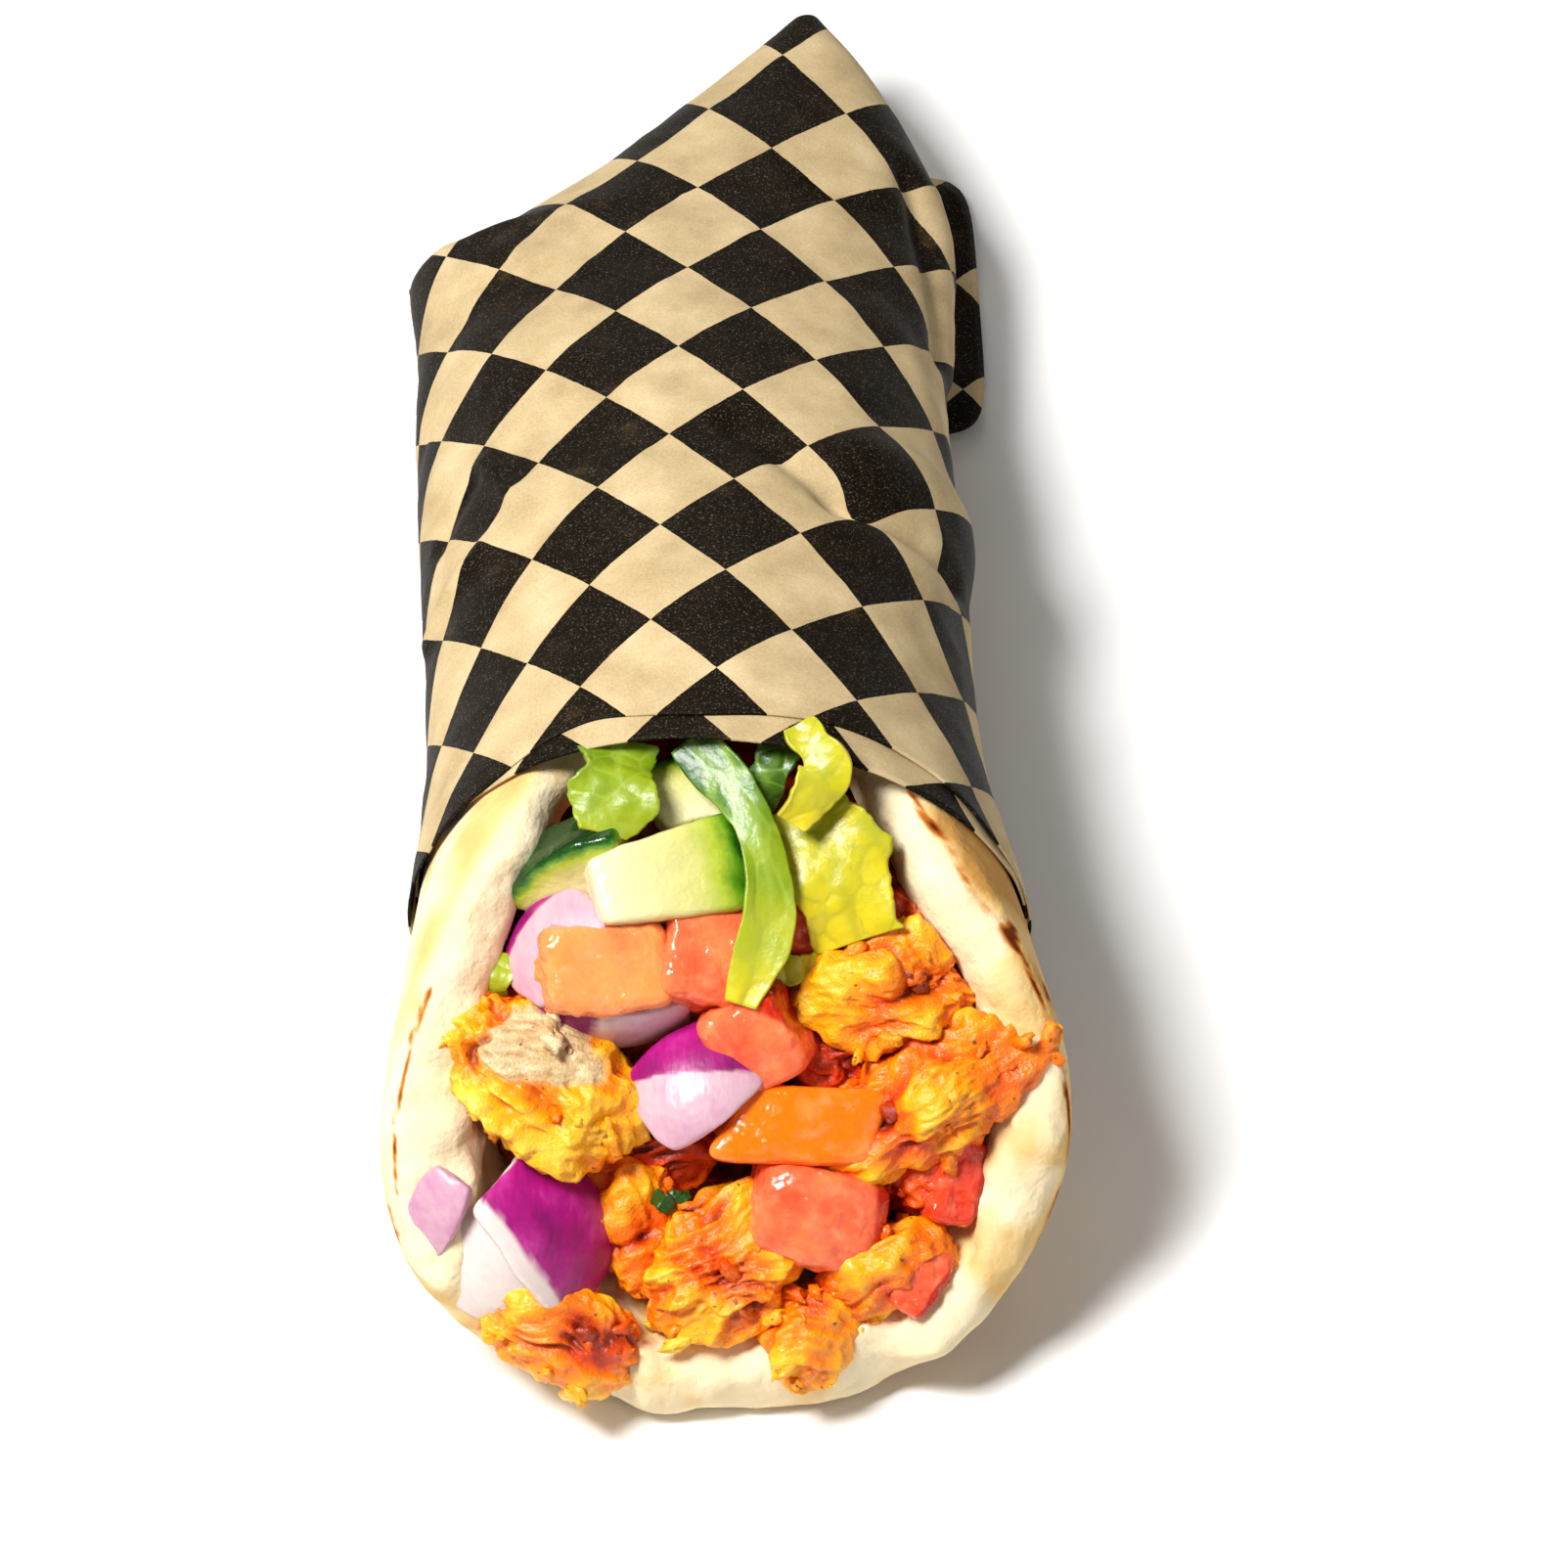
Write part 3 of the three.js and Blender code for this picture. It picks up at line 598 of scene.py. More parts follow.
pita_grid, pita_turn, pita_bend = pita_points()
pita_gold_and_shade_mark, pita_toast_mark = bake_and_shade_marks(pita_grid, pita_turn, pita_bend)
pita_rows = len(pita_grid)
pita_poles = roll_point(np.zeros(2), np.full(2, PITA_MIDDLE_Y), np.array([-1, 1]) * PITA_THICK / 2)
pita_count = pita_rows * PITA_COLUMNS
pita_faces = [
    grid_quads(pita_rows, PITA_COLUMNS, closed=True),
    fan(0, PITA_COLUMNS, pita_count)[:, ::-1],
    fan(pita_count - PITA_COLUMNS, PITA_COLUMNS, pita_count + 1),
]
pita_all = np.concatenate([pita_grid.reshape(-1, 3), pita_poles])
pita_marks = {"gold": np.append(pita_gold_and_shade_mark, [0.2, 0.2]), "toast": np.append(pita_toast_mark, [0, 0])}
pita = piece("pita_bread", pita_all, pita_faces, pita_finish, ("pita",), pita_marks)
print("pita", len(pita.data.vertices), "points")

# %% [markdown]
# ## The paper
#
# One printed sheet goes round the roll more than once, so a second layer peeps out in front of the
# first. Behind the pita the sheet is pressed into a flat tail, folded along a slant on the left, and a
# tongue of it is tucked under on the right. The sheet is a closed grid round the roll from its front edge
# to the tip. The print follows the sheet, not the shape: its coordinates are lengths measured over the
# surface, so the checks stay as large on the slopes as they are on top.

# %% Paper finish
# The print's borders wave with this length in mm and by this share of a check.
BORDER_WAVE = 1.2
BORDER_SHIFT = 0.012


def paper_finish(name, wear):
    """Brown kraft with charcoal checks. The print's coordinates are the sheet's own, one unit a check,
    and a little noise keeps the borders from being ruled. Flecks of bare paper show through the ink."""
    made = Finish(name)
    sheet = made.node("ShaderNodeUVMap", {}, {"uv_map": "print"})
    wobble_inputs = {"Vector": made.place, "Scale": 1 / (BORDER_WAVE * MM), "Detail": 2.0}
    wobble = made.node("ShaderNodeTexNoise", wobble_inputs, out="Color")
    wobble = made.node("ShaderNodeVectorMath", {0: wobble, 1: (0.5, 0.5, 0.5)}, {"operation": "SUBTRACT"})
    shift = (BORDER_SHIFT, BORDER_SHIFT, 0.0)
    wobble = made.node("ShaderNodeVectorMath", {0: wobble, 1: shift}, {"operation": "MULTIPLY"})
    where = made.node("ShaderNodeVectorMath", {0: sheet, 1: wobble}, {"operation": "ADD"})
    bare = made.node("ShaderNodeTexChecker", {"Vector": where, "Scale": 1.0}, out="Fac")
    fibre = made.sum(made.sum(made.grain(7, 5), -0.12), made.grain(0.3, 3), 0.6)
    kraft = made.ramp(
        fibre, (0.4, colour(170, 147, 107)), (0.75, colour(196, 173, 131)), (1.0, colour(212, 191, 151)))
    # Browner patches of ink, at random places.
    browner_ink_patches = made.between(made.grain(6, 6), 0.48, 0.8)
    ink = made.ramp(made.sum(made.times(browner_ink_patches, 0.45), made.grain(0.4, 3), 0.5),
                    (0.15, colour(16, 11, 5)), (0.5, colour(31, 23, 12)), (0.9, colour(74, 55, 31)))
    fleck = made.times(made.between(made.grain(0.26, 2), 0.56, 0.74), wear)
    ink = made.blend(fleck, ink, colour(132, 126, 114))
    made.shine({
        "Base Color": made.blend(bare, ink, kraft),
        "Roughness": made.ramp(bare, (0.0, (0.52, 0.52, 0.52, 1)), (1.0, (0.68, 0.68, 0.68, 1))),
        "Specular IOR Level": 0.04,
        "Normal": made.bump(made.grain(0.4, 3), 0.03, made.bump(made.grain(9, 3), 0.18)),
    })
    return made


wrapper_finish = paper_finish("printed_kraft_paper", 0.36)

# %% Paper shape
TAIL_FROM_Y = 36.0
TAIL_FULL_Y = 64.0
TAIL_LEFT = -33.9
TAIL_RIGHT = 35.6
TAIL_FOLD_Y = 63.4
TAIL_TIP_LEFT = 17.2
TAIL_TIP_RIGHT = 20.8
TAIL_TOP = 37.0
TAIL_TIP_TOP = 22.5
TAIL_TIP_BOTTOM = 18.5
TAIL_FALL_Y = 53.0
PAPER_OFFSET = PITA_THICK / 2 + CLEARANCE + PAPER_THICK


def tail_point(angle, y):
    """The flattened tail: an ellipse between a left and a right edge, a top and a bottom, which close on
    the tip along bent lines."""
    along = np.clip((y - TAIL_FOLD_Y) / (TIP_Y - TAIL_FOLD_Y), 0, 1)
    fall = np.clip((y - TAIL_FALL_Y) / (TIP_Y - TAIL_FALL_Y), 0, 1)
    left = mix(TAIL_LEFT, TAIL_TIP_LEFT, along ** 0.78)
    right = mix(TAIL_RIGHT, TAIL_TIP_RIGHT, along ** 1.9)
    top = mix(TAIL_TOP, TAIL_TIP_TOP, fall)
    bottom = mix(0, TAIL_TIP_BOTTOM, along ** 1.3)
    x = mix(left, right, (1 + np.sin(angle)) / 2)
    return np.stack([x, y, mix(bottom, top, (1 - np.cos(angle)) / 2)], -1)


def sleeve_point(angle, y, offset):
    """The roll at the front and the flat tail behind, blended by a smooth step along the wrap."""
    share = step(y, TAIL_FROM_Y, TAIL_FULL_Y)[..., None]
    return mix(roll_point(angle, y, offset), tail_point(angle, y), share)


def outer_edge(angle):
    """Front edge of the outer layer: nearly square on top, running forward down the sides."""
    side = np.sin(angle) ** 4
    dip = 2 * hump(angle - np.radians(205), np.radians(14))
    return -43.2 - np.where(np.sin(angle) > 0, 11, 5.5) * side + dip


def inner_edge(angle):
    """Front edge of the inner layer, which is the solid's: forward on the right."""
    return -47 - 4.5 * np.sin(angle) - 2.5 * np.sin(angle) ** 2


# Creases pressed into the sheet: start and end as lengths across from the top and along from the
# middle, the height in mm, below zero for a furrow, and the width in mm.
SHEET_CREASES = (
    ((6, 12), (19, 0), -1.5, 2.4), ((19, 0), (40, -2), -2.1, 2.4), ((24, 10), (46, 10), 1.9, 6.0),
    ((16, -8), (34, -8), 0.5, 4.0),
    ((-27, 14), (-23, 4), 0.9, 1.6), ((-28, -2), (-43, -8), 0.9, 1.8), ((-37, 6), (-30, 12), -0.8, 1.8),
    ((-22, 60), (-4, 46), 0.35, 2.0), ((32, 80), (38, 44), -1.7, 2.2), ((38, 80), (44, 46), 0.6, 2.6),
    ((26, 44), (40, 24), 0.5, 3.0),
    ((8, 58), (22, 42), 0.35, 2.4), ((-40, 30), (-30, 48), -0.5, 2.6), ((-12, 30), (-4, 18), 0.25, 2.2),
)


def crease_relief(across, along):
    """Sum of ridges and furrows: each falls off as a bell with the distance from its line."""
    total = np.zeros(across.shape)
    for start, end, height, width in SHEET_CREASES:
        start, end = np.array(start, float), np.array(end, float)
        line = end - start
        where = np.stack([across, along], -1) - start
        share = np.clip(where @ line / (line @ line), 0, 1)
        apart = np.linalg.norm(where - share[..., None] * line, axis=-1)
        total += height * hump(apart, width)
    return total


def sheet_lengths(points, angle, ridge):
    """Lengths over the surface: across from the line on top, positive to the right, with the sideways
    shift of that line added, and along that line from the middle of the wrap."""
    steps = np.linalg.norm(np.diff(points, axis=1), axis=-1)
    round_length = np.concatenate([np.zeros((len(points), 1)), np.cumsum(steps, axis=1)], axis=1)
    top = np.argmin(np.abs(angle[0] - np.pi))
    across = round_length[:, top:top + 1] - round_length + points[:, top:top + 1, 0]
    ridge_steps = np.linalg.norm(np.diff(ridge, axis=0), axis=-1)
    ridge_length = np.concatenate([[0], np.cumsum(ridge_steps)])
    return across, ridge_length - np.interp(0, ridge[:, 1], ridge_length)


# The print: checks stand on their corners, this far from corner to corner along and across the wrap.
CHECK_ALONG = 60 / 6.5
CHECK_ACROSS = 30 / 3.5
PRINT_START = 3.87
PRINT_SIDE = -0.57


def print_coordinates(across, along, shift=(0, 0)):
    """Places on the print in checks. The sheet is wound a little askew, so the rows climb to one side,
    sag over the shoulders and twist along the wrap."""
    a, l = across / 30, along / 60
    rows = PRINT_START + shift[1] + along / CHECK_ALONG
    rows = rows + 0.115 * a + 0.36 * a ** 2 - 0.19 * a * l - 0.2 * l ** 3
    columns = PRINT_SIDE + shift[0] + across / CHECK_ACROSS
    columns = columns - 0.69 * l - 0.134 * a ** 2 - 0.038 * a ** 3
    return np.stack([rows + columns, rows - columns], -1) / 2


def wrap_sheet(name, front, back_y, rows, columns, offset, thickness, shift, tip):
    """A layer of the sheet: a closed grid round the roll from its front edge to back_y, with the relief of
    its creases and soft waves added along the surface's normal, and closed at the tip where asked."""
    angle = np.linspace(0, 2 * np.pi, columns + 1)[None, :] + np.zeros((rows, 1))
    share = np.linspace(0, 1, rows)[:, None]
    y = mix(front(angle), back_y, share)
    base = sleeve_point(angle, y, offset)
    ridge_y = np.linspace(-70, TIP_Y, 400)
    ridge = sleeve_point(np.full(400, np.pi), ridge_y, offset)
    across, ridge_length = sheet_lengths(base, angle, ridge)
    along = np.interp(y, ridge_y, ridge_length)
    normal = unit(np.cross(np.gradient(base, axis=1), np.gradient(base, axis=0)))
    if normal[rows // 2, columns // 2, 2] < 0:
        normal = -normal
    soft = 0.45 * layered(base, 24, 61, 3) + 0.16 * ridged(base, 9, 71, 2)
    upper = step(base[..., 2], 1.5, 8)
    relief = (soft + crease_relief(across, along)) * upper
    relief *= 1 - 0.6 * hump(share, 0.02)
    points = base + normal * relief[..., None]
    points[..., 2] = np.maximum(points[..., 2], 0.02)
    points[:, -1] = points[:, 0]
    where = print_coordinates(across, along, shift)
    faces = [grid_quads(rows, columns, closed=True)]
    corners = [where.reshape(-1, 2)[grid_quads(rows, columns + 1)]]
    flat_points = points[:, :-1].reshape(-1, 3)
    if tip:
        count = len(flat_points)
        flat_points = np.concatenate([flat_points, [flat_points[-columns:].mean(0)]])
        faces.append(fan(count - columns, columns, count))
        ring = where[-1]
        corners.append(np.stack([ring[:-1], ring[1:], np.broadcast_to(ring.mean(0), (columns, 2))], 1))
    made = piece(name, flat_points, faces, wrapper_finish, ("paper_sleeve",), None, corners)
    return thicken(made, thickness)


SHEET_THICK = 0.3
SHEET_COLUMNS = 190
OUTER_ROWS = 190
INNER_ROWS = 20
INNER_BACK_Y = -30.0
INNER_OFFSET = PAPER_OFFSET - 0.42
wrapper = wrap_sheet("paper_outer_layer", outer_edge, TIP_Y - 0.1, OUTER_ROWS, SHEET_COLUMNS,
                     PAPER_OFFSET, SHEET_THICK, (0, 0), True)
under_layer = wrap_sheet("paper_inner_layer", inner_edge, INNER_BACK_Y, INNER_ROWS, SHEET_COLUMNS,
                         INNER_OFFSET, SHEET_THICK, (0.5, 0.45), False)
print("paper layers", len(wrapper.data.vertices), "and", len(under_layer.data.vertices), "points")

# %% Under layer along the slanting fold
FOLD_ROWS = 160
FOLD_COLUMNS = 14
FOLD_OUT = 1.9
FOLD_IN = 3.0


def fold_ribbon():
    """A ribbon along the tail's left edge: the edge's line from the corner to the tip, carried from inside
    the fold to a little outside it, drooping outwards and narrowing at both ends."""
    y = np.linspace(TAIL_FOLD_Y - 1.5, TIP_Y - 1.2, FOLD_ROWS)
    line = tail_point(np.full(FOLD_ROWS, 1.5 * np.pi), y)
    tangent = unit(np.gradient(line, axis=0))
    outwards = unit(np.cross(tangent, np.array([0.0, 0.0, -1.0])))
    share = np.linspace(-FOLD_IN, FOLD_OUT, FOLD_COLUMNS)[None, :]
    ends = (step(y, TAIL_FOLD_Y - 1.5, TAIL_FOLD_Y + 5) * (1 - step(y, TIP_Y - 16, TIP_Y - 4)))[:, None]
    width = np.where(share > 0, share * ends, share)
    points = line[:, None] + outwards[:, None] * width[..., None]
    points[..., 2] += 0.6 - 0.25 * np.maximum(share, 0) + 0.25 * noise(points, 9, 81)
    steps = np.linalg.norm(np.diff(line, axis=0), axis=-1)
    length = np.concatenate([[0], np.cumsum(steps)])[:, None] + 0 * share
    where = np.stack([length / 13 + 0.3, share / 13 + 0.5 + 0 * length], -1)
    return points, where


ribbon_points, ribbon_print = fold_ribbon()
ribbon_quads = grid_quads(FOLD_ROWS, FOLD_COLUMNS)
ribbon = piece("paper_fold_edge", ribbon_points, [ribbon_quads], wrapper_finish, ("paper_sleeve",),
               None, [ribbon_print.reshape(-1, 2)[ribbon_quads]])
thicken(ribbon, SHEET_THICK)
print("fold edge", round(float(np.linalg.norm(ribbon_points[-1, 0] - ribbon_points[0, 0]))), "mm long")

# %% Tucked tongue of the paper
FLAP_LEFT = 14.0
FLAP_RIGHT = 40.0
FLAP_FRONT = 49.0
FLAP_BACK = 93.0
FLAP_TOP = 2.8
FLAP_GRID = 26


def tucked_tongue():
    """A cube grid squeezed into a thin cushion with a rounded outline: a superellipse in plan, and its
    upper face waving a little."""
    box, quads = cube_grid(FLAP_GRID)
    plan = np.maximum((np.abs(box[:, 0]) ** 6 + np.abs(box[:, 1]) ** 6) ** (1 / 6), 1e-6)
    reach = np.max(np.abs(box[:, :2]), axis=1) / plan
    x = mix(FLAP_LEFT, FLAP_RIGHT, (1 + box[:, 0] * reach) / 2)
    y = mix(FLAP_FRONT, FLAP_BACK, (1 + box[:, 1] * reach) / 2)
    edge = np.maximum(np.abs(box[:, 0]), np.abs(box[:, 1]))
    thick = FLAP_TOP / 2 * np.sqrt(np.maximum(1 - edge ** 6, 0.02))
    z = 0.3 + FLAP_TOP / 2 + box[:, 2] * thick
    z += 0.35 * noise(np.stack([x, y, 0 * x], -1), 11, 3) * (box[:, 2] > 0)
    points = np.stack([x, y, z], -1)
    plan_print = np.stack([x + y, y - x], -1) / (2 * CHECK_ALONG)
    return points, quads, plan_print[quads]


tongue_points, tongue_quads, tongue_print = tucked_tongue()
tongue = piece("paper_tucked_tongue", tongue_points, [tongue_quads], wrapper_finish,
               ("paper_sleeve",), None, [tongue_print])
print("tongue of paper reaches x =", round(float(tongue_points[:, 0].max()), 1), "mm")

# %% [markdown]
# ## Chicken
#
# The meat is torn from marinated pieces: chunky, cut flat in places, with fibres along its length and a
# sauce that is yellow where it is thin and redder where it gathers. Its crevices are also darkened by
# painted shade. Each chunk is a ball cut by a dozen planes at random and softened, because a torn piece has
# facets that a lumpy ball never gets. Crags and fibres are pushed out of it as real relief. The marks it
# keeps are the depth of its crevices, how red its sauce is and where a pale cut face shows.

# %% Chicken finish
def meat_finish(name, dark):
    """Turmeric and paprika sauce over pale meat: yellow to red-orange by warmth, redder in crevices where
    sauce gathers and darker there by painted shade as strong as dark, with dark specks of spice."""
    made = Finish(name)
    crevice = made.mark("crevice")
    warmth = made.sum(made.sum(made.mark("warmth"), 0.11), made.sum(made.grain(7, 5), -0.5), 0.9)
    # Sauce turns redder in the crevices, where it gathers. The dark red-brown end they reach is partly
    # painted shade.
    warmth = made.sum(warmth, made.sum(crevice, -0.35), 0.55)
    sauce = made.ramp(
        warmth, (0.0, colour(254, 212, 74)), (0.26, colour(253, 176, 14)), (0.5, colour(248, 124, 2)),
        (0.76, colour(218, 62, 2)), (1.0, colour(132, 22, 0)))
    # Painted shade: the deepest crevices are darkened towards red-brown, as strongly as dark asks.
    crevice_shade = made.between(crevice, 0.66, 1.0)
    sauce = made.blend(made.times(crevice_shade, dark), sauce, colour(92, 26, 6))
    beige = made.grain(0.9, 3, (4, 1, 1))
    beige = made.ramp(beige, (0.35, colour(186, 150, 100)), (0.65, colour(224, 198, 150)))
    sauce = made.blend(made.mark("pale"), sauce, beige)
    speck = made.between(made.grain(1.1, 1), 0.73, 0.77)
    sauce = made.blend(made.times(speck, 0.8), sauce, colour(74, 38, 14))
    wet = made.grain(2.2, 2)
    made.shine({
        "Base Color": sauce,
        "Roughness": made.ramp(wet, (0.35, (0.16, 0.16, 0.16, 1)), (0.65, (0.42, 0.42, 0.42, 1))),
        "Subsurface Weight": 0.06,
        "Subsurface Radius": (1.0, 0.45, 0.15),
        "Subsurface Scale": 0.0012,
        "Normal": made.bump(made.grain(0.4, 4), 0.2, made.bump(made.grain(1.6, 3, (3, 1, 1)), 0.35)),
    })
    return made


chicken_finish = meat_finish("sauced_chicken", 0.75)

# %% Chicken shape
CHUNK_CUTS = 13
CUT_SHARPNESS = 12
CHUNK_FULLNESS = 1.1
CRUMB_GRID = 4


def chunk_crumbs(points, normal, count, seed, reach):
    """Small torn bits that cling to a chunk: balls of a few squares, stretched along random directions, at
    random points of its surface. Gives the points of all of them in one array."""
    ball, quads = cube_grid(CRUMB_GRID)
    ball = unit(np.tan(ball * np.pi / 4))
    draw = np.random.default_rng(seed + 500)
    chosen = draw.choice(len(points), count, replace=False)
    size = draw.uniform(0.35, 1.0, (count, 1, 1)) ** 1.5 * reach
    along = unit(draw.normal(size=(count, 1, 3)))
    stretch = draw.uniform(0.2, 1.6, (count, 1, 1))
    shape = ball[None] + along * np.sum(ball[None] * along, axis=-1, keepdims=True) * stretch
    apart = shape * 3 + 9 * np.arange(count)[:, None, None]
    shape = shape * size * (1 + 0.55 * layered(apart, 2.4, seed)[..., None])
    bits = points[chosen][:, None] + 0.1 * size * normal[chosen][:, None] + shape
    faces = quads[None] + (len(ball) * np.arange(count))[:, None, None]
    return bits.reshape(-1, 3), faces.reshape(-1, 4), np.repeat(chosen, len(ball))


def torn_chunk(size, seed, grid, taper=0.0, pale_cut=None):
    """A ball whose radius is the softened nearest of random cutting planes, 1 / (sum of reach^-n)^(1/n),
    stretched to size, narrowed along x by taper, with crags, tears and clinging crumbs added outwards.
    The relief is read from places that are themselves shifted by noise, which bends the tears."""
    ball, quads = cube_grid(grid)
    out = unit(np.tan(ball * np.pi / 4))
    draw = np.random.default_rng(seed)
    facing = unit(draw.normal(size=(CHUNK_CUTS, 3)))
    depth = draw.uniform(0.66, 1.0, CHUNK_CUTS)
    if pale_cut:
        facing = np.concatenate([facing, [unit(np.array(pale_cut[0], float))]])
        depth = np.append(depth, pale_cut[1])
    reach = depth / np.maximum(out @ facing.T, 0.04)
    radius = (np.sum(reach ** -CUT_SHARPNESS, axis=1) + 1) ** (-1 / CUT_SHARPNESS)
    half = np.array(size) / 2 * CHUNK_FULLNESS
    points = out * radius[:, None] * half
    points[:, 1:] *= 1 - taper * np.array([0.75, 1.15]) * np.maximum(0, out[:, :1])
    normal = unit(out / half)
    crag = min(1.0, min(size) / 14)
    bent = points + 2.0 * np.stack([noise(points, 6, seed + k) for k in (31, 32, 33)], -1)
    crags = layered(bent, 6.5, seed * 7, 4, 0.55)
    tears = ridged(bent * np.array([0.4, 1, 1]), 3.8, seed * 7 + 5, 3) - 0.4
    ledges = step(noise(bent * np.array([0.5, 1, 1]), 4.4, seed * 7 + 11), -0.06, 0.1) - 0.5
    fibres = ridged(bent * np.array([0.16, 1, 1]), 1.5, seed * 7 + 15, 2)
    relief = crag * (1.45 * crags + 0.75 * tears + 0.9 * ledges + 0.42 * fibres)
    relief *= 1 - 1.2 * taper * np.maximum(0, out[:, 0]) ** 2
    pale = np.zeros(len(out))
    if pale_cut:
        on_cut = hump(reach[:, -1] - radius, 0.16)
        pale = step(on_cut + 0.25 * noise(points, 2, seed), 0.45, 0.85)
        relief *= 1 - 0.75 * pale
    crevice = np.clip(0.5 - 0.38 * (crags + 0.75 * tears + 0.3 * fibres) - 0.22 * ledges, 0, 1)
    crevice = mix(crevice, 0.3, min(1.0, 1.4 * taper) * np.maximum(0, out[:, 0]) ** 2)
    points = points + normal * relief[:, None]
    bits, bit_faces, bit_base = chunk_crumbs(points, normal, int(8 + 0.5 * size[0]), seed, 1.3 * crag)
    marks = [np.append(crevice, crevice[bit_base]), np.append(pale, pale[bit_base])]
    return np.concatenate([points, bits]), np.concatenate([quads, bit_faces + len(points)]), *marks


# Place on the mouth, turn, size, seed, how red the sauce is, and how far the far end narrows.
CHICKEN = {
    "chicken_1": ((-22.2, 1.6, 1.5), (0, 0, -34), (27, 18, 18), 1, 0.22, 0),
    "chicken_2": ((26.4, -1.2, 3.6), (0, -8, 28), (31, 15, 13), 2, 0.38, 0.68),
    "chicken_3": ((20.6, 11.2, 1), (0, 0, 12), (20, 13, 14), 3, 0.34, 0),
    "chicken_4": ((0, -21.4, 1), (0, 0, 22), (22, 16, 14), 4, 0.28, 0),
    "chicken_5": ((17.6, -23, 0), (0, 0, 24), (17, 11, 12), 5, 0.46, 0),
    "chicken_6": ((9, -30.4, 2.4), (18, 0, -18), (10, 12.6, 9), 6, 0.4, 0),
    "chicken_7": ((-20.2, -28.4, 2.6), (12, 0, -26), (20, 12, 10), 7, 0.3, 0),
    "chicken_8": ((-10.4, -17.4, -3), (0, 0, 16), (12, 18, 12), 8, 0.42, 0),
    "chicken_9": ((-9, -8.2, -3.4), (0, 0, 8), (16, 10, 10), 9, 0.5, 0),
    "chicken_10": ((24.4, -11.4, -2.4), (0, 0, 40), (13, 12, 11), 10, 0.7, 0),
    "chicken_11": ((13, 2, -1.6), (0, 0, 0), (10, 9, 9), 11, 0.75, 0),
    "chicken_12": ((24, 20.6, -5.4), (0, 0, -30), (13, 10, 9), 12, 0.7, 0),
}
PALE_CUTS = {"chicken_1": ((-0.12, 0.62, 0.78), 0.76)}

for name, (at, turn, size, seed, warmth, taper) in CHICKEN.items():
    grid = 62 if max(size) > 19 else 36
    points, quads, crevice, pale = torn_chunk(size, seed, grid, taper, PALE_CUTS.get(name))
    piece("torn_" + name, placed(points, at, turn), [quads], chicken_finish, (name,),
          {"crevice": crevice, "warmth": warmth, "pale": pale})
print("chicken pieces:", len(CHICKEN))

# %% [markdown]
# ## The imported filling behind
#
# Between the pieces one looks down on more of the same meat, packed, and painted darker and redder than
# the pieces as painted shade for the gaps between them. It is a single surface: rings from the middle of
# the sloping face out to the bread, then the wall back along the roll, closed at its end. The face is
# thrown up into crumbs and clefts by noise.

# %% Packed filling
# Painted shade: the packed filling darkens its crevices more than the pieces do, for the shade between
# them.
core_shade_finish = meat_finish("packed_chicken_painted_shade", 0.9)
CORE_OFFSET = -(PITA_THICK / 2 * (1 + PITA_SOFTNESS) + 0.4 + CLEARANCE)
CORE_LEVEL = -5.0
CORE_END_Y = 34.0
CORE_COLUMNS = 200
CORE_FACE_ROWS = 80
CORE_WALL_ROWS = 12


def wall_on_mouth(angle):
    """Where the filling's wall meets the plane of its sloping face: y is halved in on by bisection, as the
    height over that plane falls steadily along the roll."""
    low, high = np.full(angle.shape, -130.0), np.full(angle.shape, 40.0)
    for _ in range(40):
        middle = (low + high) / 2
        height = (roll_point(angle, middle, CORE_OFFSET) - MOUTH_CENTRE) @ MOUTH_TURN[:, 2] - CORE_LEVEL
        low, high = np.where(height > 0, middle, low), np.where(height > 0, high, middle)
    return (low + high) / 2


def packed_filling():
    """Rings of the face at even shares from its middle to the wall, then rings of the wall at even shares
    along the roll, with relief on the face that dies away at its rim."""
    angle = np.linspace(0, 2 * np.pi, CORE_COLUMNS, endpoint=False)
    start_y = wall_on_mouth(angle)
    rim = roll_point(angle, start_y, CORE_OFFSET)
    middle = rim.mean(0)
    share = np.linspace(0, 1, CORE_FACE_ROWS + 1)[1:, None, None]
    face = mix(middle, rim, share)
    crags = layered(face, 8, 91, 4, 0.6)
    crumbs = ridged(face, 4, 95, 3)
    relief = (1.7 * crags + 0.5 * crumbs) * (1 - share[..., 0] ** 6)
    crevice = np.clip(0.55 - 0.4 * crags, 0, 1)
    face = face + MOUTH_TURN[:, 2] * relief[..., None]
    back = np.linspace(0, 1, CORE_WALL_ROWS + 1)[1:, None]
    wall = roll_point(angle + 0 * back, mix(start_y, CORE_END_Y, back), CORE_OFFSET)
    points = np.concatenate([face, wall]).reshape(-1, 3)
    crevice = np.concatenate([crevice.ravel(), np.full(wall.shape[0] * CORE_COLUMNS, 0.5)])
    rows = CORE_FACE_ROWS + CORE_WALL_ROWS
    poles = np.stack([middle + MOUTH_TURN[:, 2] * relief[0].mean(), wall[-1].mean(0)])
    count = rows * CORE_COLUMNS
    faces = [grid_quads(rows, CORE_COLUMNS, closed=True), fan(0, CORE_COLUMNS, count)[:, ::-1],
             fan(count - CORE_COLUMNS, CORE_COLUMNS, count + 1)]
    return np.concatenate([points, poles]), faces, np.append(crevice, [0.5, 0.5])


core_points, core_faces, core_crevice = packed_filling()
# Painted shade: the filling's sauce is set redder and darker (warmth 0.78) for the gaps between the pieces.
core = piece("packed_filling", core_points, core_faces, core_shade_finish, ("filling_core",),
             {"crevice": core_crevice, "warmth": 0.78, "pale": 0.0})
print("packed filling", len(core.data.vertices), "points")

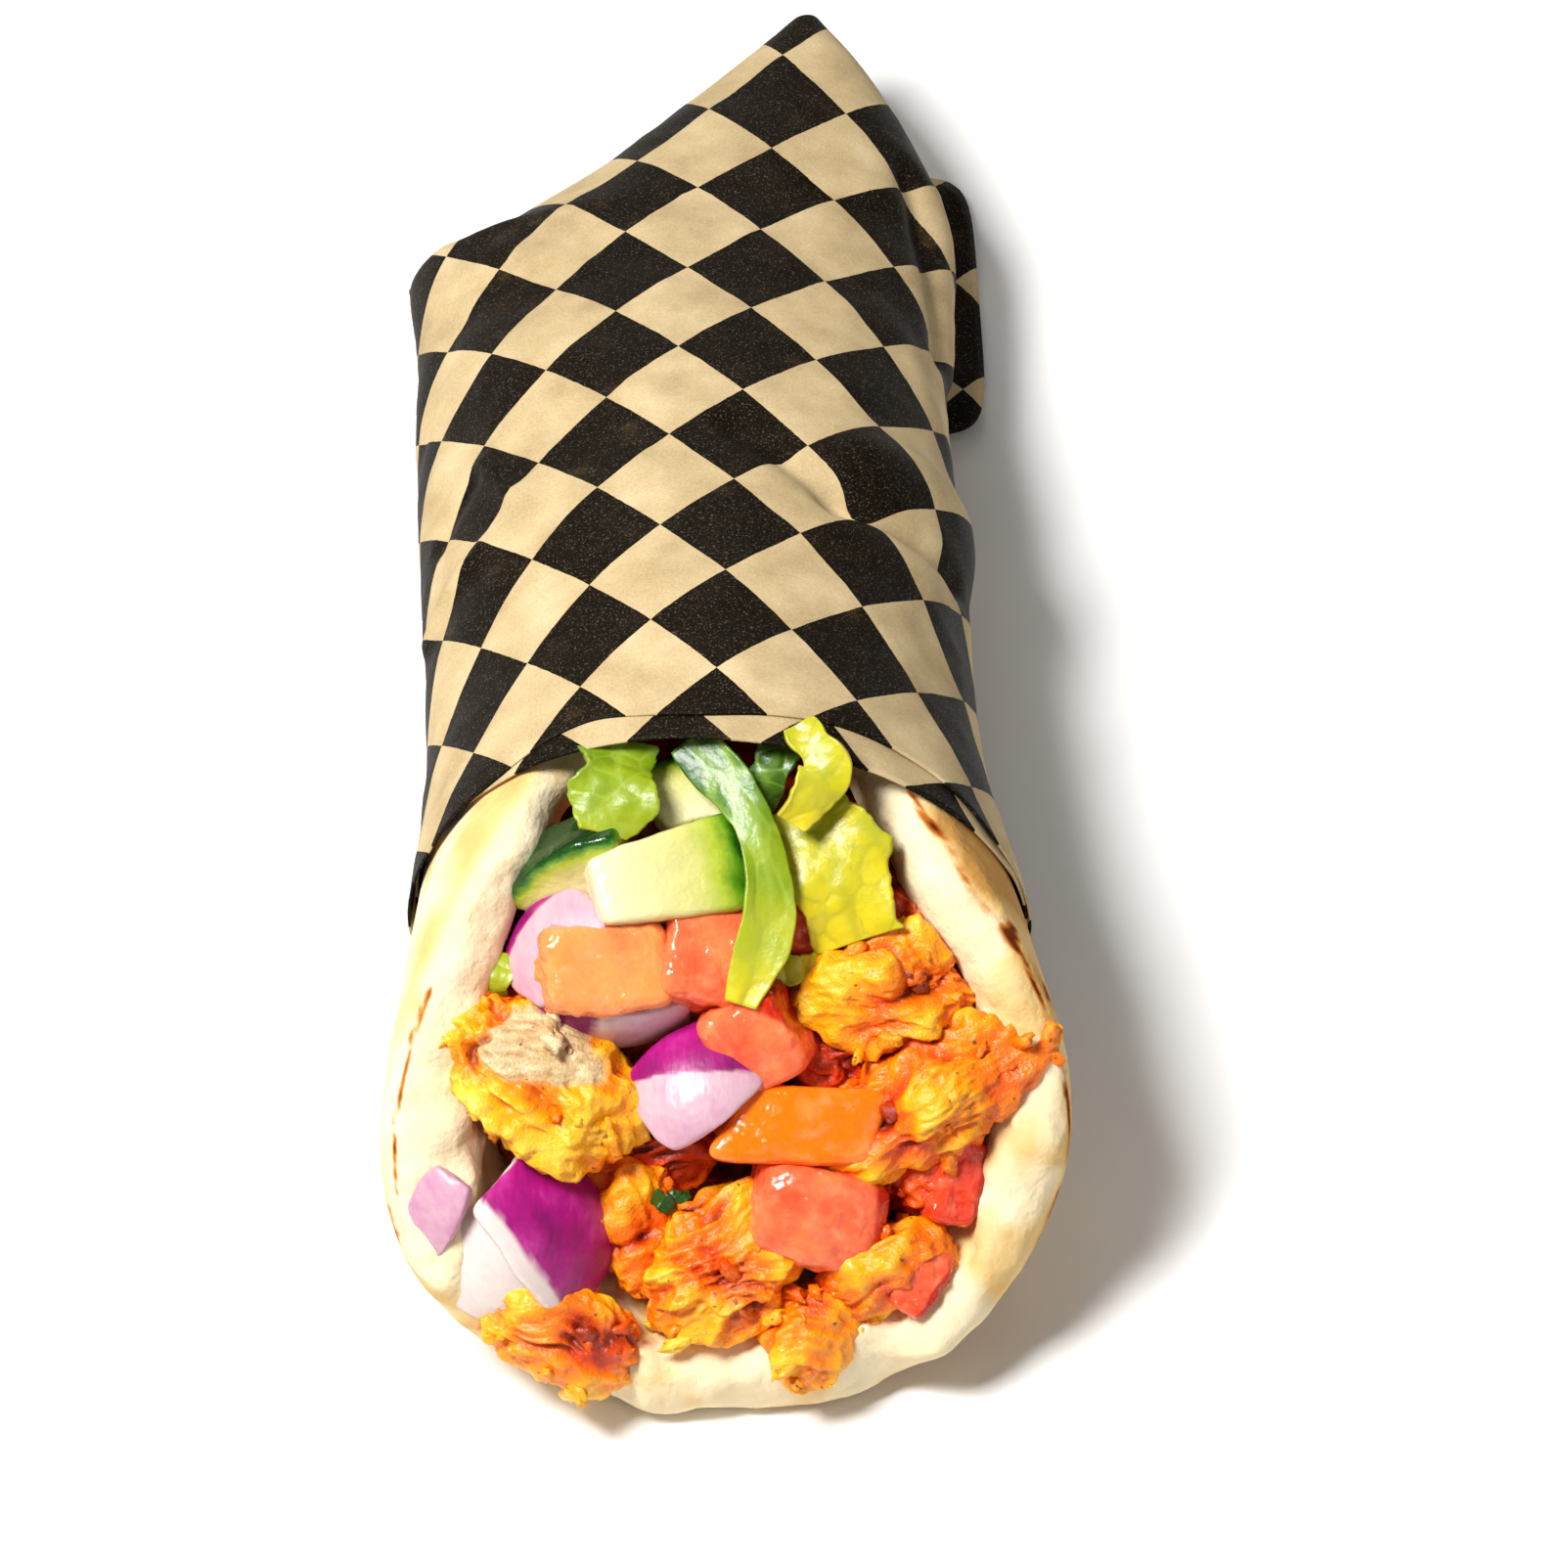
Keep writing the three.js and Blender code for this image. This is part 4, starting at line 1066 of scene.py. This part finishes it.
# %% [markdown]
# ## Tomato
#
# Diced tomato is wet and lets light in: soft edges, glassy faces, small lumps of flesh that sparkle, and a
# darker skin on one side. Each dice is the cube grid rounded by a superellipsoid, which keeps flat faces
# and gives soft corners, with fine relief for the cut flesh.

# %% Tomato finish
tomato_finish = Finish("wet_tomato")
tomato_patches = tomato_finish.sum(tomato_finish.grain(5, 4), -0.5)
tomato_flesh = tomato_finish.sum(tomato_finish.mark("orange"), tomato_patches, 0.85)
tomato_flesh = tomato_finish.ramp(
    tomato_flesh, (0.0, colour(228, 60, 28)), (0.3, colour(247, 110, 68)), (0.65, colour(254, 154, 84)),
    (1.0, colour(250, 118, 8)))
tomato_skin = tomato_finish.ramp(
    tomato_finish.grain(4, 2), (0.3, colour(170, 22, 4)), (0.7, colour(214, 44, 8)))
tomato_seed = tomato_finish.between(tomato_finish.grain(1.3, 1), 0.74, 0.8)
tomato_streak = tomato_finish.between(tomato_finish.grain(2.4, 4), 0.52, 0.72)
tomato_flesh = tomato_finish.blend(
    tomato_finish.times(tomato_streak, 0.3), tomato_flesh, colour(255, 170, 118))
tomato_colour = tomato_finish.blend(tomato_finish.mark("skin"), tomato_flesh, tomato_skin)
tomato_colour = tomato_finish.blend(
    tomato_finish.times(tomato_seed, 0.45), tomato_colour, colour(255, 214, 170))
tomato_lumps = tomato_finish.bump(tomato_finish.grain(2.4, 2), 0.3)
tomato_finish.shine({
    "Base Color": tomato_colour,
    "Roughness": 0.12,
    "IOR": 1.36,
    "Subsurface Weight": 0.3,
    "Subsurface Radius": (1.0, 0.35, 0.15),
    "Subsurface Scale": 0.002,
    "Coat Weight": 0.3,
    "Coat Roughness": 0.06,
    "Normal": tomato_finish.bump(tomato_finish.grain(0.6, 2), 0.1, tomato_lumps),
})

# %% Tomato shape
DICE_GRID = 31
DICE_POWER = 6.0


def rounded_box(count, power):
    """The cube grid drawn in to a superellipsoid: each point divided by (|x|^n + |y|^n + |z|^n)^(1/n)."""
    box, quads = cube_grid(count)
    return box / np.sum(np.abs(box) ** power, axis=1, keepdims=True) ** (1 / power), quads


def tomato_dice(size, seed, lean=0.0, wet=0.3):
    """A rounded box, uneven by soft noise, sheared by lean, with fine lumps of cut flesh."""
    box, quads = rounded_box(DICE_GRID, DICE_POWER)
    points = box * np.array(size) / 2
    points *= 1 + 0.12 * noise(points, 7, seed)[:, None] + 0.06 * noise(points, 3.4, seed + 5)[:, None]
    points[:, 0] += lean * points[:, 1]
    flesh = layered(points, 1.4, seed + 9, 2) * step(noise(points, 5, seed + 2), -0.5, 0.2)
    points += unit(box) * (wet * flesh)[:, None]
    return points, quads, box


# Place, turn, size, seed, how orange the flesh is, lean, and the side where the skin shows.
TOMATO = {
    "tomato_1": ((-13.6, 15.1, 3), (-8, 6, 4), (14.6, 10.6, 11), 1, 0.6, 0, None),
    "tomato_2": ((-1.2, 15.4, 2), (-18, 8, -14), (11.6, 12.4, 11), 2, 0.3, 0, None),
    "tomato_3": ((4.6, 6.4, 3), (12, -12, 28), (11.4, 11.8, 11), 3, 0.25, 0, (1, 0.4, -0.2)),
    "tomato_4": ((9.2, -4.6, 4), (-10, 4, -5), (19.6, 9.6, 7), 4, 1.0, 0.35, None),
    "tomato_5": ((10.4, -15.6, 3), (8, 12, -16), (15.6, 11.4, 11), 5, 0.3, 0, (1, 0.2, -0.1)),
    "tomato_6": ((11, 19.4, -0.5), (0, 0, -22), (10.4, 8, 8), 6, 0.15, 0, (0.4, 1, 0.3)),
    "tomato_7": ((27.4, -12.4, 2), (0, 20, -16), (6, 10.4, 5), 7, 0.05, 0, (1, 0.3, 0)),
    "tomato_8": ((23, -23.6, 3), (0, 10, -34), (5, 8.4, 5), 8, 0.1, 0, (1, -0.2, 0)),
}
for name, (at, turn, size, seed, orange, lean, skin_side) in TOMATO.items():
    points, quads, box = tomato_dice(size, seed, lean, 0.06 if orange > 0.9 else 0.3)
    skin = 0.0
    if skin_side:
        skin = step(box @ unit(np.array(skin_side, float)) + 0.1 * noise(points, 3, seed), 0.62, 0.74)
    piece("diced_" + name, placed(points, at, turn), [quads], tomato_finish, (name,),
          {"orange": orange, "skin": skin})
print("tomato dice:", len(TOMATO))

# %% [markdown]
# ## Red onion
#
# An onion layer is a curved plate: purple skin outside, white flesh on its cut edges and inside. The cube
# grid, with its edges barely rounded, is bent over a ball, so the plate keeps its even thickness. The skin
# mark is the height within the plate, which draws a thin purple line along the cut edges too.

# %% Onion finish
onion_finish = Finish("red_onion")
onion_line = onion_finish.grain(0.8, 3, (1, 5, 1))
onion_tint = onion_finish.sum(onion_finish.grain(4, 3), onion_line, 0.6)
onion_flesh = onion_finish.ramp(
    onion_finish.sum(onion_finish.mark("pink"), onion_tint, 0.4),
    (0.25, colour(222, 209, 200)), (0.65, colour(212, 184, 186)), (1.0, colour(190, 132, 160)))
onion_purple = onion_finish.ramp(
    onion_finish.sum(onion_finish.grain(5, 3), onion_line, 0.3),
    (0.4, colour(120, 4, 88)), (0.7, colour(166, 8, 118)), (0.95, colour(196, 64, 160)))
onion_finish.shine({
    "Base Color": onion_finish.blend(onion_finish.mark("skin"), onion_flesh, onion_purple),
    "Roughness": 0.36,
    "Subsurface Weight": 0.25,
    "Subsurface Radius": (1.0, 0.7, 0.8),
    "Subsurface Scale": 0.0025,
    "Normal": onion_finish.bump(onion_line, 0.09, onion_finish.bump(onion_finish.grain(2.5, 2), 0.12)),
})

# %% Onion shape
PLATE_GRID = 28


def onion_plate(bend, arc, thick, seed):
    """A box bent over a ball of radius bend: across becomes a turn, up becomes a lift that narrows to both
    ends, and height adds to the radius."""
    box, quads = rounded_box(PLATE_GRID, 12.0)
    box = box / 2
    long_arc, wide_arc = np.radians(arc)
    nibble = 1 + 0.05 * noise(box * 9, 2.2, seed)
    turn = long_arc * box[:, 0] * nibble
    lift = wide_arc * box[:, 1] * (1 - 0.2 * (2 * box[:, 0]) ** 2) * nibble
    radius = bend + box[:, 2] * thick + 0.12 * noise(box * 20, 4, seed + 3)
    points = np.stack([np.sin(turn) * np.cos(lift), np.sin(lift), np.cos(turn) * np.cos(lift)], -1)
    points = points * radius[:, None] - np.array([0, 0, bend])
    return points, quads, box


# Place, turn, bend, arcs along and across in degrees, thickness, seed and how pink the flesh is.
ONION = {
    "onion_1": ((-20.2, -15.8, 6), (-14, 40, -48), 15, (72, 60), 4.4, 1, 0.05),
    "onion_6": ((-28.6, -20.6, 6.4), (16, -10, -32), 12, (78, 58), 3.6, 6, 0.0),
    "onion_2": ((-3.6, 1.4, 6), (-26, -14, 32), 13, (62, 54), 4, 2, 0.5),
    "onion_3": ((-34.8, -12.9, 8.2), (4, -30, 62), 16, (36, 24), 2.4, 3, 0.6),
    "onion_4": ((-12.4, 8.2, 2.6), (58, 0, -6), 14, (74, 34), 3.6, 4, 0.4),
    "onion_5": ((-20, 18.4, 3), (-30, -38, 40), 14, (56, 46), 3.2, 5, 0.5),
}
# Where the skin is left on a plate: the direction over the plate in which it lies and where it starts.
ONION_SKIN = {
    "onion_1": ((0, 1), -0.38),
    "onion_2": ((0.63, 0.78), 0.02),
    "onion_4": ((-1, 0), 0.12),
    "onion_5": ((0, 1), 0.3),
}
for name, (at, turn, bend, arc, thick, seed, pink) in ONION.items():
    points, quads, box = onion_plate(bend, arc, thick, seed)
    skin = np.zeros(len(points))
    if name in ONION_SKIN:
        direction, start = ONION_SKIN[name]
        over = box[:, :2] @ np.array(direction) + 0.02 * noise(box * 30, 2, seed + 4)
        height = box[:, 2] + 0.03 * noise(box * 20, 2, seed + 8)
        skin = step(height, 0.36, 0.42) * step(over, start, start + 0.03)
    piece("red_" + name, placed(points, at, turn), [quads], onion_finish, (name,),
          {"skin": skin, "pink": pink})
print("onion plates:", len(ONION))

# %% [markdown]
# ## Cucumber
#
# Pieces of a thick slice: dark green skin on the round edge, a band of bright green under it, and pale wet
# flesh. The box grid is bent so that one direction is the angle round the slice and another the radius.

# %% Cucumber finish
cucumber_finish = Finish("cucumber")
cucumber_patches = cucumber_finish.sum(cucumber_finish.grain(3, 3), -0.5)
cucumber_rind = cucumber_finish.sum(cucumber_finish.mark("rind"), cucumber_patches, 0.2)
cucumber_colour = cucumber_finish.ramp(
    cucumber_rind, (0.0, colour(234, 226, 182)), (0.4, colour(218, 210, 146)),
    (0.66, colour(204, 200, 116)), (0.8, colour(170, 186, 50)),
    (0.89, colour(84, 138, 18)), (0.95, colour(26, 80, 10)), (1.0, colour(14, 50, 8)))
cucumber_finish.shine({
    "Base Color": cucumber_colour,
    "Roughness": 0.2,
    "Subsurface Weight": 0.2,
    "Subsurface Radius": (0.8, 1.0, 0.4),
    "Subsurface Scale": 0.003,
    "Coat Weight": 0.2,
    "Coat Roughness": 0.08,
    "Normal": cucumber_finish.bump(cucumber_finish.grain(0.9, 3), 0.2),
})

# %% Cucumber shape
WEDGE_GRID = 28


def cucumber_wedge(bend, inner, arc, thick, seed):
    """Part of a slice: angle about its middle from the box's x, radius from inner to bend from its y,
    thickness from its z, and centred on the middle radius."""
    box, quads = rounded_box(WEDGE_GRID, 9.0)
    box = box / 2
    angle = np.pi / 2 - np.radians(arc) * box[:, 0]
    radius = mix(inner, bend, box[:, 1] + 0.5)
    middle = (bend + inner) / 2
    points = np.stack([radius * np.cos(angle), radius * np.sin(angle) - middle, thick * box[:, 2]], -1)
    points += 0.18 * layered(points, 2.6, seed, 2)[:, None] * unit(box)
    return points, quads, box[:, 1] + 0.5


# Place, turn, outer and inner radius, arc in degrees, thickness and seed.
CUCUMBER = {
    "cucumber_1": ((-5.6, 25.4, 2.4), (-16, 8, -78), 58, 39, 12.5, 8, 1),
    "cucumber_2": ((-17, 27.2, -0.6), (34, -8, 40), 18, 9, 62, 7, 2),
    "cucumber_3": ((-2.8, 35, -4), (-30, 0, 12), 18, 9, 44, 5, 3),
}
for name, (at, turn, bend, inner, arc, thick, seed) in CUCUMBER.items():
    points, quads, rind = cucumber_wedge(bend, inner, arc, thick, seed)
    piece("sliced_" + name, placed(points, at, turn), [quads], cucumber_finish, (name,),
          {"rind": rind})
print("cucumber pieces:", len(CUCUMBER))

# %% [markdown]
# ## Lettuce
#
# Shredded leaf lies over the salad in strips with torn edges. A strip is a line across carried along a
# smooth path, ruffled at its edges, and given thickness by a Solidify modifier. Its veins are the borders
# between random cells, low lines between the blisters that the cells raise, and kept as a mark for the
# colour.

# %% Lettuce finish
lettuce_finish = Finish("lettuce")
lettuce_patches = lettuce_finish.sum(lettuce_finish.grain(6, 4), -0.5)
lettuce_tone = lettuce_finish.sum(lettuce_finish.mark("yellow"), lettuce_patches, 0.5)
lettuce_colour = lettuce_finish.ramp(
    lettuce_tone, (0.0, colour(28, 68, 6)), (0.3, colour(80, 122, 12)), (0.6, colour(148, 164, 20)),
    (1.0, colour(212, 192, 22)))
lettuce_vein = lettuce_finish.ramp(
    lettuce_tone, (0.0, colour(110, 150, 60)), (0.5, colour(150, 170, 50)), (1.0, colour(176, 164, 30)))
vein_share = lettuce_finish.times(lettuce_finish.mark("vein"), 0.65)
lettuce_finish.shine({
    "Base Color": lettuce_finish.blend(vein_share, lettuce_colour, lettuce_vein),
    "Roughness": 0.36,
    "Subsurface Weight": 0.12,
    "Subsurface Radius": (0.5, 1.0, 0.2),
    "Subsurface Scale": 0.0015,
    "Normal": lettuce_finish.bump(lettuce_finish.grain(1.6, 3), 0.16),
})

# %% Lettuce shape
LEAF_THICK = 0.6
LEAF_ACROSS = 28
LEAF_ALONG = 90
LEAF_RAGGED = 0.14
LEAF_END_TAPER = 0.2


def smooth_path(knots, count):
    """A Catmull-Rom curve through the knots, the end knots mirrored, at even parameters."""
    knots = np.array(knots, float)
    knots = np.concatenate([[2 * knots[0] - knots[1]], knots, [2 * knots[-1] - knots[-2]]])
    place = np.linspace(0, len(knots) - 3, count)
    first = np.minimum(place.astype(int), len(knots) - 4)
    t = (place - first)[:, None]
    a, b, c, d = (knots[first + k] for k in range(4))
    square, cube = 2 * a - 5 * b + 4 * c - d, 3 * b - a - 3 * c + d
    return 0.5 * (2 * b + (c - a) * t + square * t ** 2 + cube * t ** 3)


def leaf_strip(width, ruffle, seed, knots, rows, columns):
    """A line across the leaf carried along the path. The torn edge narrows it by noise, the ruffle lifts
    its sides by waves that grow with the square of the distance from the middle, and the cells between the
    veins rise as blisters."""
    path = smooth_path(knots, rows)
    tangent = unit(np.gradient(path, axis=0))
    side = unit(np.cross(tangent, np.array([0.0, 0.0, 1.0])))
    normal = np.cross(side, tangent)
    t = np.linspace(0, 1, rows)[:, None]
    x = np.linspace(-0.5, 0.5, columns)[None, :]
    torn = 1 - LEAF_RAGGED * (1 - np.sin(9 * t + seed)) - LEAF_END_TAPER * np.abs(2 * t - 1) ** 6
    edge_place = np.stack(np.broadcast_arrays(14 * t, 3 * np.sign(x), 0 * t + seed), -1)
    torn = torn + 0.09 * layered(edge_place, 1.6, seed, 3)
    wave = ruffle * (2 * x) ** 2 * np.sin(8 * t + 2 * seed + np.sign(x))
    flat = np.stack(np.broadcast_arrays(width * x * torn, 14 * t + 0 * x, 0 * t * x), -1)
    first, second = nearest_two(flat, 3.4, seed)
    vein = 1 - step(second - first, 0.03, 0.16)
    rib = hump(width * x * torn, 0.55) * step(width, 5, 6.5)
    vein = np.clip(vein + rib, 0, 1)
    blister = 0.35 * (1 - np.clip(second - first, 0, 1)) * -1 + 0.25 * noise(flat, 3, seed + 4)
    points = path[:, None] + side[:, None] * (width * x * torn)[..., None]
    points = points + normal[:, None] * (wave + blister)[..., None]
    return points, vein


# Width, ruffle, seed, how yellow at both ends, and the path on the mouth.
LETTUCE = {
    "lettuce_1": (6.6, 0.5, 1, (0.1, 0.9),
                  ((-2.5, 42, 0.5), (4.4, 33, 5.4), (6.4, 22, 8.6), (2.4, 10.8, 9.6))),
    "lettuce_2": (11, 0.9, 2, (0.42, 0.62), ((-10.6, 42, -0.5), (-11.4, 37.4, 3.4), (-13, 31.5, 5.2))),
    "lettuce_3": (6.2, 0.8, 3, (0.75, 0.95), ((10.6, 43.6, 3.4), (13.6, 38.2, 6.4), (9.2, 32, 6.2))),
    "lettuce_4": (14.6, 1.1, 4, (0.8, 1), ((11.6, 34, 1.4), (14.4, 26, 5), (17.0, 17.4, 5.2))),
    "lettuce_5": (3.6, 0.4, 5, (0.75, 0.9), ((6.4, 14, 5.2), (10, 14.4, 4.8), (13.6, 15.2, 3.4))),
    "lettuce_6": (6, 0.8, 6, (0, 0.2), ((9.4, 44, -2.6), (7.6, 38.6, 1.4), (4.6, 33.4, 0.4))),
    "lettuce_7": (4.2, 0.6, 7, (0.4, 0.7), ((-28, 10.6, -1), (-26.6, 13.6, 1.4), (-25.6, 17, 0))),
}
for name, (width, ruffle, seed, yellow, knots) in LETTUCE.items():
    points, vein = leaf_strip(width, ruffle, seed, knots, LEAF_ALONG, LEAF_ACROSS)
    marks = {"vein": vein.ravel(), "yellow": np.repeat(np.linspace(*yellow, LEAF_ALONG), LEAF_ACROSS)}
    made = piece("shredded_" + name, from_mouth(points), [grid_quads(LEAF_ALONG, LEAF_ACROSS)],
                 lettuce_finish, (name,), marks)
    thicken(made, LEAF_THICK, 0.0)
print("lettuce strips:", len(LETTUCE))

# %% [markdown]
# ## Herb
#
# Three dark flakes of herb cling to the meat. They are small leaf strips, so the leaf function makes them
# with fewer points, and a low yellow mark takes the lettuce colour down to its darkest green.

# %% Flakes of herb on the chicken
FLAKE_ALONG = 30
FLAKE_ACROSS = 10
FLAKE_THICK = 0.3
HERB = {
    "herb_1": (2.4, 0.3, 21, ((-9.0, -12.6, 3.0), (-7.6, -13.2, 4.4), (-6.2, -14.6, 3.4))),
    "herb_2": (1.6, 0.3, 22, ((-6.8, -12.2, 3.4), (-5.4, -12.8, 4.2), (-4.2, -12.4, 3.2))),
    "herb_3": (1.2, 0.2, 23, ((-1.6, -30.2, 1.0), (0.4, -29.6, 1.8), (2.6, -29.8, 1.2))),
}
for name, (width, ruffle, seed, knots) in HERB.items():
    points, _ = leaf_strip(width, ruffle, seed, knots, FLAKE_ALONG, FLAKE_ACROSS)
    made = piece(name, from_mouth(points), [grid_quads(FLAKE_ALONG, FLAKE_ACROSS)], lettuce_finish,
                 (), {"vein": 0.0, "yellow": -0.5})
    thicken(made, FLAKE_THICK, 0.0)
print("herb flakes:", len(HERB))
